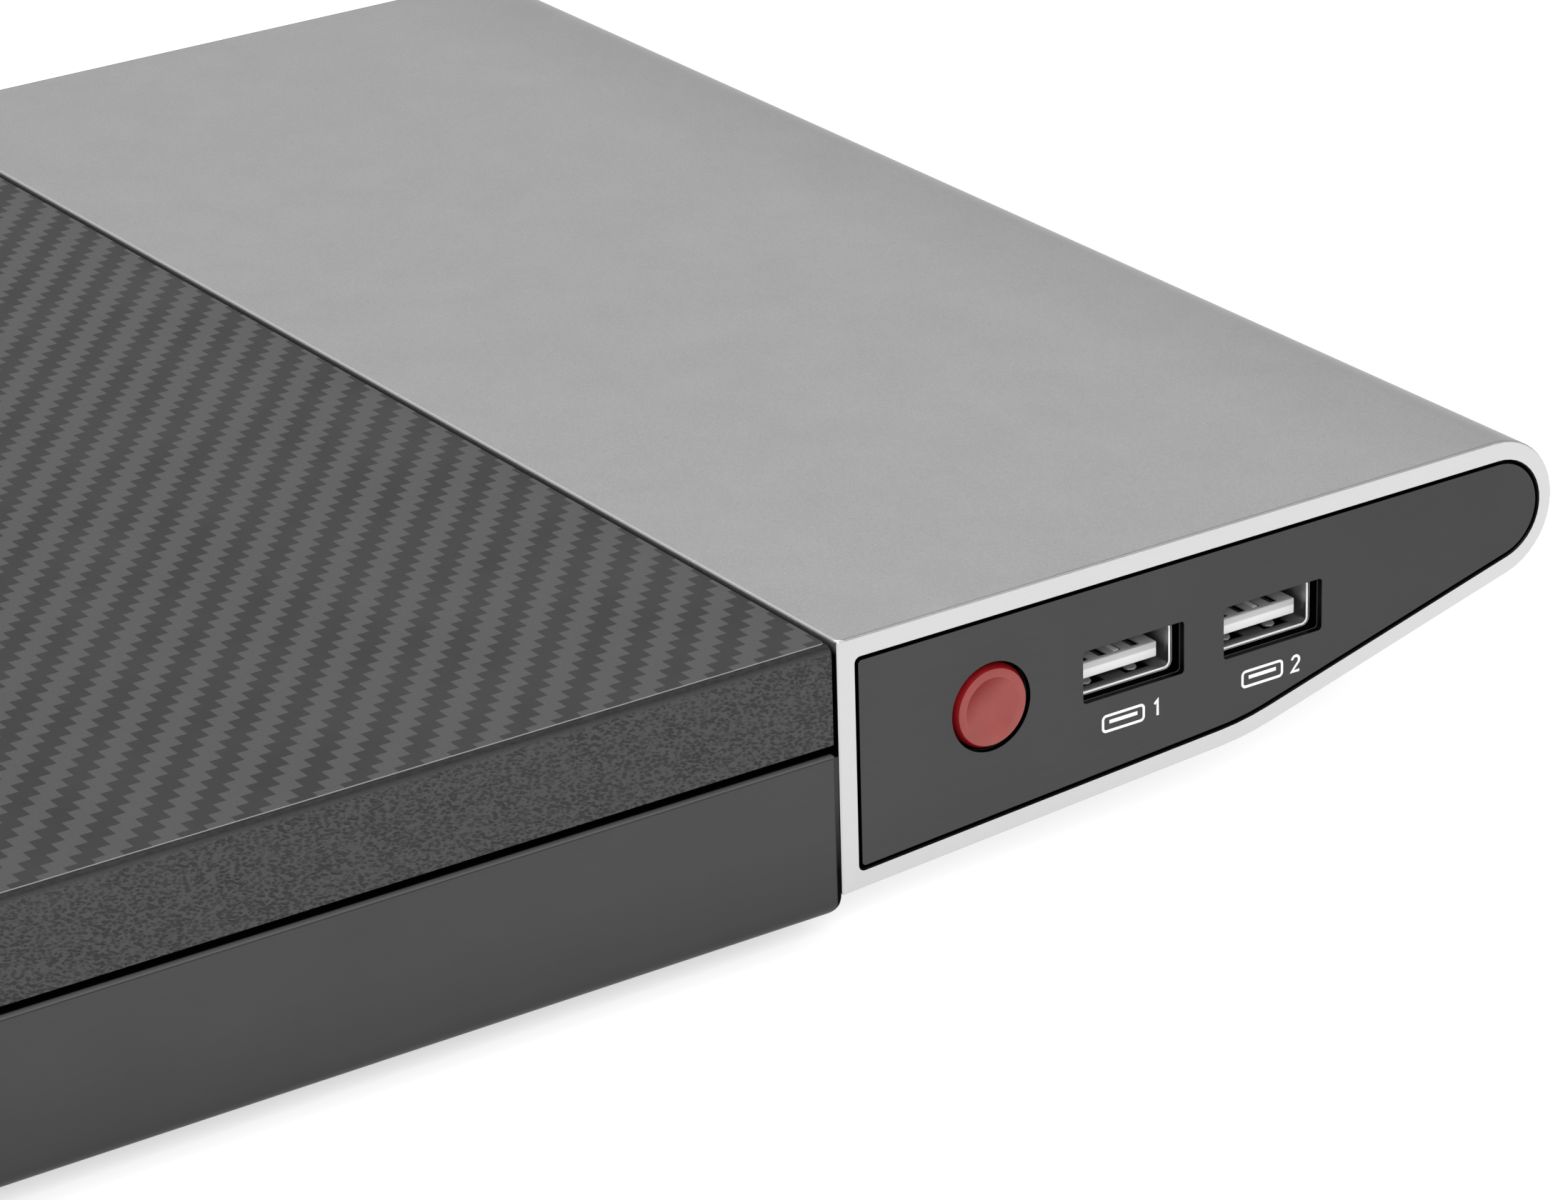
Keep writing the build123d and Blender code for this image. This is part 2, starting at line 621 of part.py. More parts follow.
sink_side = 38.0
sink_z = board_z + processor_height
with BuildPart() as heat_sink:
    with Locations((*processor_place, sink_z + 1.25)):
        Box(sink_side, sink_side, 2.5)
    for step in range(10):
        x = processor_place[0] - sink_side / 2 + 0.6 + step * (sink_side - 1.2) / 9
        block((x - 0.6, x + 0.6), (processor_place[1] - sink_side / 2, processor_place[1] + sink_side / 2),
              (sink_z + 2.5, sink_z + 10.0))
save(heat_sink, "heat_sink")

capacitor_profile = ((0, 0), (3.9, 0), (4.0, 1.2), (3.7, 1.6), (4.0, 2.0), (4.0, 9.6), (3.6, 10.0), (0, 10.0))
capacitor_places = [(x, y, board_z) for x in (20.0, 32.0, 44.0) for y in (98.0, 110.0)]
capacitors = spread(turned(capacitor_profile, "Z"), capacitor_places)
save(capacitors, "capacitors")

cell_place = (-42.0, 98.0)
with BuildPart() as clock_battery_holder:
    cylinder_z(*cell_place, 11.6, (board_z, board_z + 4.6))
    cylinder_z(*cell_place, 10.2, (board_z + 1.0, board_z + 5.6), Mode.SUBTRACT)
save(clock_battery_holder, "clock_battery_holder")

cell_profile = ((0, 0), (8.8, 0), (9.0, 0.3), (10.0, 0.6), (10.0, 3.2), (0, 3.2))
clock_battery = spread(turned(cell_profile, "Z"), [(*cell_place, board_z + 1.0)])
save(clock_battery, "clock_battery")

# ---------------------------------------------------------------- rear connectors
jack_flange_y = rear_y + 0.1

jack_profile = (
    (3.7, 0.9), (3.7, -7.9), (6.3, -7.9), (6.3, 0.0), (7.0, 0.0), (7.0, 1.4), (4.8, 1.4),
    (4.8, 9.6), (4.5, 9.9), (3.7, 9.9),
)
video_jack_turned = turned(jack_profile, "Y")
with BuildPart() as video_jack:
    add(video_jack_turned)
    for side in (-1, 1):
        with Locations((0, 5.6, side * 5.2)):
            Cylinder(0.95, 1.0)
    block((-6.8, 6.8), (-13.0, -7.9), (board_z - video_z, 6.3))
    cylinder_y(0, 0, 3.7, (-9.0, 0), Mode.SUBTRACT)
video_jack_bodies = spread(video_jack.part, [(x, jack_flange_y, video_z) for x in video_xs])
save(video_jack_bodies, "video_jack_bodies")

insert_profile = ((0.7, 6.0), (2.4, 6.0), (2.4, 3.0), (3.65, 3.0), (3.65, -8.9), (0.7, -8.9))
video_jack_inserts = spread(
    turned(insert_profile, "Y"), [(x, jack_flange_y, video_z) for x in video_xs]
)
save(video_jack_inserts, "video_jack_inserts")

with BuildPart() as audio_jacks:
    block((audio_x - 5.0, audio_x + 5.0), (rear_y - 14.0, rear_y - sheet - 0.2), (board_z, audio_zs[1] + 5.2))
    for z in audio_zs:
        cylinder_y(audio_x, z, 3.3, (rear_y - 9.0, rear_y), Mode.SUBTRACT)
save(audio_jacks, "audio_jacks")

ring_profile = ((2.9, -8.8), (3.25, -8.8), (3.25, -1.2), (4.15, -1.2), (4.15, 8.6), (3.85, 8.9), (2.9, 8.9))
audio_jack_rings = spread(turned(ring_profile, "Y"), [(audio_x, rear_y, z) for z in audio_zs])
save(audio_jack_rings, "audio_jack_rings")

sleeve_profile = ((1.6, -8.5), (2.85, -8.5), (2.85, 8.3), (1.6, 8.3))
audio_jack_sleeves = spread(turned(sleeve_profile, "Y"), [(audio_x, rear_y, z) for z in audio_zs])
save(audio_jack_sleeves, "audio_jack_sleeves")


def d_outline(half_width, half_height, corner_r):
    """Outline of a D-shaped connector shell, wider at the top."""
    with BuildSketch() as outline:
        with BuildLine():
            FilletPolyline((-half_width, half_height), (half_width, half_height),
                           (half_width - 1.2, -half_height), (1.2 - half_width, -half_height),
                           radius=corner_r, close=True)
        make_face()
    return outline.sketch


d_outside = d_outline(8.4, 4.1, 1.6)
d_inside = d_outline(8.0, 3.7, 1.3)
d_insert = d_outline(6.9, 2.9, 1.0)
analogue_plane = Plane(origin=(analogue_x, rear_y + 5.8, analogue_z), x_dir=(1, 0, 0), z_dir=(0, -1, 0))
with BuildPart() as analogue_display_port:
    with BuildSketch(analogue_plane):
        add(d_outside)
    extrude(amount=10.0)
    with BuildSketch(analogue_plane):
        add(d_inside)
    extrude(amount=9.0, mode=Mode.SUBTRACT)
    block((analogue_x - 15.3, analogue_x + 15.3), (rear_y - 2.0, rear_y - sheet - 0.1),
          (analogue_z - 6.1, analogue_z + 6.1))
    block((analogue_x - 8.0, analogue_x + 8.0), (rear_y - 2.2, rear_y - 1.0),
          (analogue_z - 2.5, analogue_z + 2.5), Mode.SUBTRACT)
    for offset_x in (-12.5, 12.5):
        cylinder_y(analogue_x + offset_x, analogue_z, 1.6, (rear_y - 3, rear_y), Mode.SUBTRACT)
    block((analogue_x - 15.3, analogue_x + 15.3), (rear_y - 12.0, rear_y - 4.2), (board_z, analogue_z + 6.0))
save(analogue_display_port, "analogue_display_port")

insert_face_y = rear_y + 4.0
with BuildPart() as analogue_port_insert:
    with BuildSketch(Plane(origin=(analogue_x, insert_face_y, analogue_z), x_dir=(1, 0, 0), z_dir=(0, -1, 0))):
        add(d_insert)
    extrude(amount=4.6)
    for row, (count, shift) in enumerate(((5, 0.0), (5, -1.15), (5, 0.0))):
        for step in range(count):
            x = analogue_x + (step - 2) * 2.29 + shift * 0.5
            cylinder_y(x, analogue_z + (1 - row) * 1.8, 0.45, (insert_face_y - 3.5, insert_face_y + 1),
                       Mode.SUBTRACT)
save(analogue_port_insert, "analogue_port_insert")

with BuildPart() as analogue_port_posts:
    for offset_x in (-12.5, 12.5):
        with BuildSketch(Plane(origin=(analogue_x + offset_x, rear_y + 5.0, analogue_z), x_dir=(1, 0, 0),
                               z_dir=(0, -1, 0))):
            RegularPolygon(2.75, 6)
        extrude(amount=4.9)
        cylinder_y(analogue_x + offset_x, analogue_z, 1.5, (rear_y - 4.0, rear_y + 0.2))
        cylinder_y(analogue_x + offset_x, analogue_z, 1.2, (rear_y + 1.2, rear_y + 6.0), Mode.SUBTRACT)
save(analogue_port_posts, "analogue_port_posts")

digital_plane = Plane(origin=(digital_x, rear_y + 0.6, digital_z), x_dir=(1, 0, 0), z_dir=(0, -1, 0))


def digital_outline(inset):
    """Outline of the digital display port: a slot with its two lower corners cut off."""
    w = 7.45 - inset
    h = 2.85 - inset
    with BuildSketch() as outline:
        with BuildLine():
            Polyline((-w, h), (w, h), (w, -h + 2.2), (w - 1.3, -h + 0.9), (w - 2.0, -h), (2.0 - w, -h),
                     (1.3 - w, -h + 0.9), (-w, -h + 2.2), close=True)
        make_face()
    return outline.sketch


digital_outside = digital_outline(0)
digital_inside = digital_outline(0.35)
with BuildPart() as digital_display_port:
    with BuildSketch(digital_plane):
        add(digital_outside)
    extrude(amount=11.6)
    with BuildSketch(digital_plane):
        add(digital_inside)
    extrude(amount=10.8, mode=Mode.SUBTRACT)
save(digital_display_port, "digital_display_port")

with BuildPart() as digital_port_tongue:
    block((digital_x - 5.6, digital_x + 5.6), (rear_y - 8.0, rear_y - 1.4),
          (digital_z - 0.35, digital_z + 0.75))
    block((digital_x - 5.2, digital_x + 5.2), (rear_y - 10.1, rear_y - 8.0),
          (digital_z - 2.0, digital_z + 2.0))
save(digital_port_tongue, "digital_port_tongue")

rear_shell_inside = (12.5, 5.12)
rear_tongue_size = (11.1, 1.84)
rear_mouth_y = rear_y + 0.6
rear_port_plane = Plane(origin=(rear_port_x, rear_mouth_y, rear_port_z), x_dir=(1, 0, 0), z_dir=(0, -1, 0))
rear_outside = [size + 2 * shell_sheet for size in rear_shell_inside]
with BuildPart() as rear_port_shell:
    with BuildSketch(rear_port_plane):
        RectangleRounded(rear_outside[0], rear_outside[1], 0.7)
    extrude(amount=shell_length)
    with BuildSketch(rear_port_plane):
        RectangleRounded(rear_shell_inside[0], rear_shell_inside[1], 0.4)
    extrude(amount=shell_length - shell_sheet, mode=Mode.SUBTRACT)
save(rear_port_shell, "rear_port_shell")

rear_tongue_z = rear_port_z - 0.08
rear_tongue_x = (rear_port_x - rear_tongue_size[0] / 2, rear_port_x + rear_tongue_size[0] / 2)
with BuildPart() as rear_port_tongue:
    block(rear_tongue_x, (rear_mouth_y - 11.2, rear_mouth_y - 2.0),
          (rear_tongue_z, rear_tongue_z + rear_tongue_size[1]))
    block((rear_port_x - 6.1, rear_port_x + 6.1), (rear_mouth_y - 13.7, rear_mouth_y - 11.2),
          (rear_port_z - 2.4, rear_port_z + 2.4))
save(rear_port_tongue, "rear_port_tongue")

with BuildPart() as network_socket:
    block((network_x - network_size[0] / 2, network_x + network_size[0] / 2), (rear_y - 15.0, rear_y + 0.8),
          (board_z, board_z + network_size[1]))
    block((network_x - 5.9, network_x + 5.9), (rear_y - 12.0, rear_y + 2.0), (board_z + 3.6, board_z + 10.6),
          Mode.SUBTRACT)
    block((network_x - 3.1, network_x + 3.1), (rear_y - 12.0, rear_y + 2.0), (board_z + 2.0, board_z + 3.7),
          Mode.SUBTRACT)
save(network_socket, "network_socket")

with BuildPart() as network_contacts:
    for step in range(8):
        x = network_x + (step - 3.5) * 1.02
        block((x - 0.22, x + 0.22), (rear_y - 12.0, rear_y - 4.0), (board_z + 9.6, board_z + 10.0))
save(network_contacts, "network_contacts")

with BuildPart() as terminal_block:
    block((terminal_x - terminal_size[0] / 2, terminal_x + terminal_size[0] / 2),
          (rear_y - 11.0, rear_y + 1.2), (board_z, board_z + terminal_size[1]))
    for step in range(4):
        x = terminal_x + (step - 1.5) * 3.5
        block((x - 1.25, x + 1.25), (rear_y - 6.0, rear_y + 2.0), (board_z + 1.6, board_z + 4.6),
              Mode.SUBTRACT)
        cylinder_z(x, rear_y - 3.5, 1.2, (board_z + 6.0, board_z + 10.0), Mode.SUBTRACT)
save(terminal_block, "terminal_block")

with BuildPart() as power_jack:
    block((power_x - 4.6, power_x + 4.6), (rear_y - 14.0, rear_y - sheet - 0.2), (board_z, power_z + 5.4))
    cylinder_y(power_x, power_z, 4.6, (rear_y - sheet - 0.3, rear_y + 1.2))
    cylinder_y(power_x, power_z, 3.1, (rear_y - 9.0, rear_y + 2.0), Mode.SUBTRACT)
save(power_jack, "power_jack")

with BuildPart() as power_jack_pin:
    cylinder_y(power_x, power_z, 1.0, (rear_y - 9.0, rear_y + 0.2))
save(power_jack_pin, "power_jack_pin")

# ---------------------------------------------------------------- hard drive
drive_x1 = drive_x0 + drive_size[0]
drive_y1 = drive_y0 + drive_size[1]
drive_z1 = drive_z0 + drive_size[2]
lid_thickness = 1.2
with BuildPart() as hard_drive_casting:
    block((drive_x0, drive_x1), (drive_y0, drive_y1), (drive_z0, drive_z1 - lid_thickness))
    fillet(hard_drive_casting.edges().filter_by(Axis.Z), 2.5)
    block((drive_x0 + 10.0, drive_x1 + 1), (drive_y0 + 7.5, drive_y1 - 7.5), (drive_z0 - 1, drive_z0 + 2.4),
          Mode.SUBTRACT)
    block((drive_x1 - 6.0, drive_x1 + 1), (drive_y0 + 20.0, drive_y0 + 66.0), (drive_z0 - 1, drive_z0 + 7.5),
          Mode.SUBTRACT)
    for x, y in drive_holes:
        cylinder_z(x, y, 1.5, (drive_z0 - 1, drive_z0 + 5.5), Mode.SUBTRACT)
save(hard_drive_casting, "hard_drive_casting")

with BuildPart() as hard_drive_lid:
    with BuildSketch(Plane.XY.offset(drive_z1 - lid_thickness)):
        with Locations(((drive_x0 + drive_x1) / 2, (drive_y0 + drive_y1) / 2)):
            RectangleRounded(drive_size[0] - 5, drive_size[1] - 5, 6.0)
    extrude(amount=lid_thickness)
    cylinder_z(drive_x0 + 52.0, (drive_y0 + drive_y1) / 2, 30.0, (drive_z1 - 0.4, drive_z1 + 1),
               Mode.SUBTRACT)
save(hard_drive_lid, "hard_drive_lid")

data_y = drive_y0 + 54.0
drive_power_y = drive_y0 + 34.0
drive_plug_z = drive_z0 + 4.5
with BuildPart() as hard_drive_board:
    block((drive_x0 + 12.0, drive_x1 - 0.5), (drive_y0 + 9.0, drive_y1 - 9.0),
          (drive_z0 + 0.7, drive_z0 + 2.3))
    block((drive_x1 - 5.8, drive_x1 - 0.5), (drive_y0 + 22.0, drive_y0 + 64.0),
          (drive_z0 + 2.3, drive_z0 + 7.0))
save(hard_drive_board, "hard_drive_board")

spacer_profile = ((2.1, 0), (5.0, 0), (4.4, 1.0), (5.0, 2.0), (2.1, 2.0))
drive_spacers = spread(turned(spacer_profile, "Z"), [(x, y, inside_z) for x, y in drive_holes])
save(drive_spacers, "drive_spacers")

drive_screws = spread(screw("Z", 1, 3.4, 1.6, 1.45, 7.5), [(x, y, floor_z) for x, y in drive_holes])
save(drive_screws, "drive_screws")

# ---------------------------------------------------------------- inside leads
header_y = (78.0, 86.0)
header_z = board_z + 6.4
data_lead_x = 46.0
power_lead_x = 54.0
fan_lead_x = fan_x - 11.3
fan_header_y = (106.0, 111.0)
with BuildPart() as lead_headers:
    for x in (data_lead_x, power_lead_x):
        block((x - 3.5, x + 3.5), header_y, (board_z, board_z + 9.0))
    block((lead_x - 4.0, lead_x + 4.0), (78.0, 84.0), (board_z, board_z + 7.0))
    block((lead_x - 4.0, lead_x + 4.0), side_header_y, (side_board_z[1], lead_z + 2.0))
    block((fan_lead_x - 3.0, fan_lead_x + 3.0), fan_header_y, (board_z, board_z + 5.0))
save(lead_headers, "lead_headers")

plug_x = drive_x1 - 0.4
with BuildPart() as drive_plugs:
    block((plug_x, plug_x + 11.0), (data_y - 6.5, data_y + 6.5), (drive_plug_z - 2.4, drive_plug_z + 2.4))
    block((plug_x, plug_x + 11.0), (drive_power_y - 10.0, drive_power_y + 10.0),
          (drive_plug_z - 2.4, drive_plug_z + 2.4))
save(drive_plugs, "drive_plugs")

lead_start_x = plug_x + 11.0
climb_y = 62.0
drive_data_lead = lead(
    ((lead_start_x, data_y, drive_plug_z), (data_lead_x, data_y, drive_plug_z),
     (data_lead_x, climb_y, drive_plug_z), (data_lead_x, climb_y + 9.0, header_z),
     (data_lead_x, header_y[0], header_z)),
    (3.5, 4.0, 4.0), 3.0,
)
save(drive_data_lead, "drive_data_lead")

drive_power_lead = lead(
    ((lead_start_x, drive_power_y, drive_plug_z), (power_lead_x, drive_power_y, drive_plug_z),
     (power_lead_x, climb_y, drive_plug_z), (power_lead_x, climb_y + 9.0, header_z),
     (power_lead_x, header_y[0], header_z)),
    (6.0, 4.0, 4.0), 3.6,
)
save(drive_power_lead, "drive_power_lead")

side_board_lead = lead(
    ((lead_x, side_header_y[1], lead_z), (lead_x, 81.0, lead_z), (lead_x, 81.0, board_z + 7.0)),
    (8.0,), 2.8,
)
save(side_board_lead, "side_board_lead")

# ---------------------------------------------------------------- fan
fan_back_y = rear_y - sheet
fan_front_y = fan_back_y - fan_thickness
fan_bore_r = 11.8
hub_r = 5.6
blade_tip_r = 11.2
motor_y = (fan_front_y, fan_front_y + 1.6)
with BuildPart() as fan_frame:
    block((fan_x - fan_side / 2, fan_x + fan_side / 2), (fan_front_y, fan_back_y),
          (fan_z - fan_side / 2, fan_z + fan_side / 2))
    fillet(fan_frame.edges().filter_by(Axis.Y), 2.0)
    cylinder_y(fan_x, fan_z, fan_bore_r, (fan_front_y - 1, fan_back_y + 1), Mode.SUBTRACT)
    cylinder_y(fan_x, fan_z, hub_r, motor_y)
    for turn in (30, 150, 270):
        with Locations(Location((fan_x, sum(motor_y) / 2, fan_z), (0, turn, 0))):
            with Locations((hub_r + 3.1, 0, 0)):
                Box(6.8, 1.6, 1.8)
    cylinder_y(fan_x, fan_z, 2.0, (motor_y[1], motor_y[1] + 3.0))
    cylinder_y(fan_x, fan_z, 1.05, (fan_front_y - 1, fan_back_y + 1), Mode.SUBTRACT)
    for x, z in fan_holes:
        cylinder_y(x, z, 1.2, (fan_front_y - 1, fan_back_y + 1), Mode.SUBTRACT)
save(fan_frame, "fan_frame")

hub_y = (motor_y[1] + 0.4, fan_back_y - 0.8)
blade_length = blade_tip_r - hub_r + 0.8
with BuildPart() as fan_rotor:
    cylinder_y(fan_x, fan_z, hub_r, hub_y)
    cylinder_y(fan_x, fan_z, hub_r - 0.8, (hub_y[0], hub_y[1] - 1.2), Mode.SUBTRACT)
    cylinder_y(fan_x, fan_z, 1.0, (fan_front_y + 0.2, hub_y[1] - 0.5))
    for step in range(7):
        with Locations(Location((fan_x, sum(hub_y) / 2, fan_z), (0, step * 360 / 7, 0))):
            with Locations(Location((blade_tip_r - blade_length / 2, 0, 0), (50, 0, 0))):
                Box(blade_length, 7.2, 0.7)
save(fan_rotor, "fan_rotor")

fan_screws = spread(screw("Y", -1, 2.4, 1.5, 1.15, 8.0), [(x, rear_y, z) for x, z in fan_holes])
save(fan_screws, "fan_screws")

fan_lead_z = fan_z + 6.5
fan_lead = lead(
    ((fan_lead_x, fan_front_y, fan_lead_z), (fan_lead_x, 124.0, fan_lead_z),
     (fan_lead_x, 117.0, board_z + 3.0), (fan_lead_x, fan_header_y[1], board_z + 3.0)),
    (5.0, 5.0), 1.8,
)
save(fan_lead, "fan_lead")
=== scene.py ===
import json
import math

import bmesh
import bpy
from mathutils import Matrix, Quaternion, Vector


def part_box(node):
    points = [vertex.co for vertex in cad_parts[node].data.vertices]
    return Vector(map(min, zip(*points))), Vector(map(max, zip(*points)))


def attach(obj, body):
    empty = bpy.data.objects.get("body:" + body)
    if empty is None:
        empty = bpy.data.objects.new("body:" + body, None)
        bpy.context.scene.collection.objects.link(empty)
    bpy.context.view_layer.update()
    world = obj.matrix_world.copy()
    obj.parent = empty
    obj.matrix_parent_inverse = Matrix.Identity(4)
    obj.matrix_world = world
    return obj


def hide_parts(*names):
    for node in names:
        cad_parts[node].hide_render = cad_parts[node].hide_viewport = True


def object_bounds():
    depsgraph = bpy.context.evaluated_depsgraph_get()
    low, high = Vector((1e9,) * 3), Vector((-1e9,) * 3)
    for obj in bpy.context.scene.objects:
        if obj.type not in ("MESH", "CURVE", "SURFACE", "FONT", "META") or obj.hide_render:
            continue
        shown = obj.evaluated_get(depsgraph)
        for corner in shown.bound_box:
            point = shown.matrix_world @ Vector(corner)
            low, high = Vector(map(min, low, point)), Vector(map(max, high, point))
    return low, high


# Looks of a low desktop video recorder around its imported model.
# Metres, +Z up, -Y to the front, +X to the right.

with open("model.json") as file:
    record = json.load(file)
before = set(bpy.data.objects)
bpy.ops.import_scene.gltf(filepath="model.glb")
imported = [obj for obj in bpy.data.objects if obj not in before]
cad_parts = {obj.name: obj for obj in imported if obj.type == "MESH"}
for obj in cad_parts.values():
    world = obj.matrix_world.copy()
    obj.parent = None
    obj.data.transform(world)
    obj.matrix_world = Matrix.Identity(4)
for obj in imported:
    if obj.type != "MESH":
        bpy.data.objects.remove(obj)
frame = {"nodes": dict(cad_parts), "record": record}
cad_low, cad_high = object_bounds()

nodes = frame["nodes"]
MM = 0.001
ROOT = "recorder"
scene = bpy.context.scene

fascia_low, fascia_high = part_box("fascia_extrusion")
plate_low, plate_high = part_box("left_end_plate")
cover_low, cover_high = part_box("top_cover")
film_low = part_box("cover_film")[0]
shells_low, shells_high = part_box("side_port_shells")
cap_low, cap_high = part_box("power_button_cap")

face_x = plate_low.x           # outer face of the end plate
chassis_front = cover_low.y    # front edge of the cover's and the tray's sides
joggle_z = fascia_high.z - 14.5 * MM   # where the tray's side steps in under the cover's skirt
tray_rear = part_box("base_tray")[1].y
port_z = (shells_low.z + shells_high.z) / 2
tongue_front = 3.16 * MM       # behind the end plate's face


# ---------------------------------------------------------------- camera, floor and light
def make_camera(place, target, roll, lens):
    data = bpy.data.cameras.new("camera")
    data.lens = lens
    data.sensor_width = 36.0
    data.clip_start = 0.05
    data.clip_end = 50.0
    camera = bpy.data.objects.new("camera", data)
    scene.collection.objects.link(camera)
    camera.location = place
    camera.rotation_mode = "QUATERNION"
    aim = (target - place).to_track_quat("-Z", "Y")
    camera.rotation_quaternion = aim @ Quaternion((0, 0, 1), roll)
    scene.camera = camera


def make_floor(side, color, glow):
    mesh = bpy.data.meshes.new("floor")
    half = side / 2
    corners = [(-half, -half, 0), (half, -half, 0), (half, half, 0), (-half, half, 0)]
    mesh.from_pydata(corners, [], [(0, 1, 2, 3)])
    floor = bpy.data.objects.new("floor", mesh)
    scene.collection.objects.link(floor)
    floor.location.z = cad_low.z - 0.05 * MM
    look = bpy.data.materials.new("floor_paper")
    look.use_nodes = True
    shader = look.node_tree.nodes["Principled BSDF"]
    shader.inputs["Base Color"].default_value = (*color, 1)
    shader.inputs["Roughness"].default_value = 0.9
    shader.inputs["Emission Color"].default_value = (1, 1, 1, 1)
    shader.inputs["Emission Strength"].default_value = glow
    mesh.materials.append(look)


def make_softbox(name, place, target, size, power):
    data = bpy.data.lights.new(name, "AREA")
    data.shape = "RECTANGLE"
    data.size, data.size_y = size
    data.energy = power
    light = bpy.data.objects.new(name, data)
    scene.collection.objects.link(light)
    light.location = place
    light.rotation_mode = "QUATERNION"
    light.rotation_quaternion = (Vector(target) - Vector(place)).to_track_quat("-Z", "Y")


def make_surround(levels):
    """Plain grey surround. Levels are (height, brightness) pairs, from 0 at the horizon to 1 overhead."""
    world = bpy.data.worlds.new("studio")
    world.use_nodes = True
    scene.world = world
    tree = world.node_tree
    back = tree.nodes["Background"]
    place = tree.nodes.new("ShaderNodeTexCoord")
    axes = tree.nodes.new("ShaderNodeSeparateXYZ")
    ramp = tree.nodes.new("ShaderNodeValToRGB")
    tree.links.new(place.outputs["Generated"], axes.inputs[0])
    tree.links.new(axes.outputs["Z"], ramp.inputs[0])
    stops = ramp.color_ramp.elements
    stops.remove(stops[1])
    for height, brightness in levels:
        stop = stops.new(height) if height else stops[0]
        stop.color = (brightness, brightness, brightness, 1)
    tree.links.new(ramp.outputs[0], back.inputs["Color"])
    back.inputs["Strength"].default_value = 1.0


make_camera(
    place=Vector((-0.668, 0.32905, 0.33255)),
    target=Vector((-0.07157, -0.06965, 0.02)),
    roll=math.radians(-1.603),
    lens=137.58,
)
make_floor(side=9.0, color=(0.66, 0.66, 0.66), glow=0.58)
make_surround(((0.0, 0.85), (0.2, 0.72), (0.42, 0.6), (1.0, 0.5)))
make_softbox("side_softbox", place=(-1.6, 0.2, 1.2), target=(-0.1, 0, 0), size=(1.2, 1.0), power=22)
make_softbox("top_softbox", place=(0.2, -0.3, 1.9), target=(0, 0, 0), size=(1.8, 1.8), power=20)
scene.view_settings.view_transform = "Standard"


# ---------------------------------------------------------------- procedural materials
SOCKETS = {
    "color": "Base Color",
    "roughness": "Roughness",
    "metallic": "Metallic",
    "specular": "Specular IOR Level",
    "coat": "Coat Weight",
    "coat_roughness": "Coat Roughness",
}


class Surface:
    """One procedural material: its principled shader, and short calls for the nodes that feed it."""

    def __init__(self, name, **settings):
        self.material = bpy.data.materials.new(name)
        self.material.use_nodes = True
        self.tree = self.material.node_tree
        self.shader = self.tree.nodes["Principled BSDF"]
        self.place = self.put("ShaderNodeTexCoord", {}).outputs["Object"]
        for key, value in settings.items():
            self.feed(self.shader.inputs[SOCKETS[key]], rgba(value) if key == "color" else value)

    def put(self, kind, inputs, **settings):
        """Adds a node. Each of its inputs is a value or another node's output."""
        made = self.tree.nodes.new(kind)
        for key, value in settings.items():
            setattr(made, key, value)
        for key, value in inputs.items():
            self.feed(made.inputs[key], value)
        return made

    def feed(self, socket, value):
        if isinstance(value, bpy.types.NodeSocket):
            self.tree.links.new(value, socket)
        else:
            socket.default_value = value

    def drive(self, key, value):
        """Feeds one of the shader's own sockets from a node."""
        self.tree.links.new(value, self.shader.inputs[SOCKETS[key]])

    def axes(self):
        made = self.put("ShaderNodeSeparateXYZ", {0: self.place})
        return made.outputs["X"], made.outputs["Y"], made.outputs["Z"]

    def facing(self):
        """The surface's own direction, as three numbers from -1 to 1."""
        normal = self.put("ShaderNodeNewGeometry", {}).outputs["True Normal"]
        return self.put("ShaderNodeSeparateXYZ", {0: normal}).outputs

    def calc(self, operation, *values):
        return self.put("ShaderNodeMath", dict(enumerate(values)), operation=operation).outputs[0]

    def plus(self, first, second):
        return self.calc("ADD", first, second)

    def minus(self, first, second):
        return self.calc("SUBTRACT", first, second)

    def times(self, first, second):
        return self.calc("MULTIPLY", first, second)

    def noise(self, size, detail=2.0, stretch=(1, 1, 1)):
        """Smooth noise from 0 to 1 in blobs of about that size, drawn out where stretch is over 1."""
        scales = [1 / (size * part) for part in stretch]
        spot = self.put("ShaderNodeVectorMath", {0: self.place, 1: scales}, operation="MULTIPLY")
        settings = {"Vector": spot.outputs[0], "Scale": 1.0, "Detail": detail}
        return self.put("ShaderNodeTexNoise", settings).outputs[0]

    def span(self, value, low, high, to_low=0.0, to_high=1.0):
        """Maps low..high to to_low..to_high and holds it there outside."""
        made = self.put("ShaderNodeMapRange", {0: value, 1: low, 2: high, 3: to_low, 4: to_high})
        return made.outputs[0]

    def blend(self, share, first, second):
        """Colour between two colours or colour outputs."""
        made = self.put("ShaderNodeMix", {}, data_type="RGBA")
        self.feed(made.inputs[0], share)
        self.feed(made.inputs[6], rgba(first))
        self.feed(made.inputs[7], rgba(second))
        return made.outputs[2]

    def vary(self, noise, first, second):
        """Colour that follows a noise from the first colour to the second."""
        return self.blend(self.span(noise, 0.3, 0.7), first, second)

    def roughen(self, noise, smooth, rough):
        """Roughness that follows a noise."""
        self.drive("roughness", self.span(noise, 0.3, 0.7, smooth, rough))

    def relief(self, height, depth, strength=1.0):
        """Bump from a height of 0 to 1 that stands for that depth in metres."""
        bump = self.put("ShaderNodeBump", {"Height": height, "Distance": depth, "Strength": strength})
        self.tree.links.new(bump.outputs[0], self.shader.inputs["Normal"])


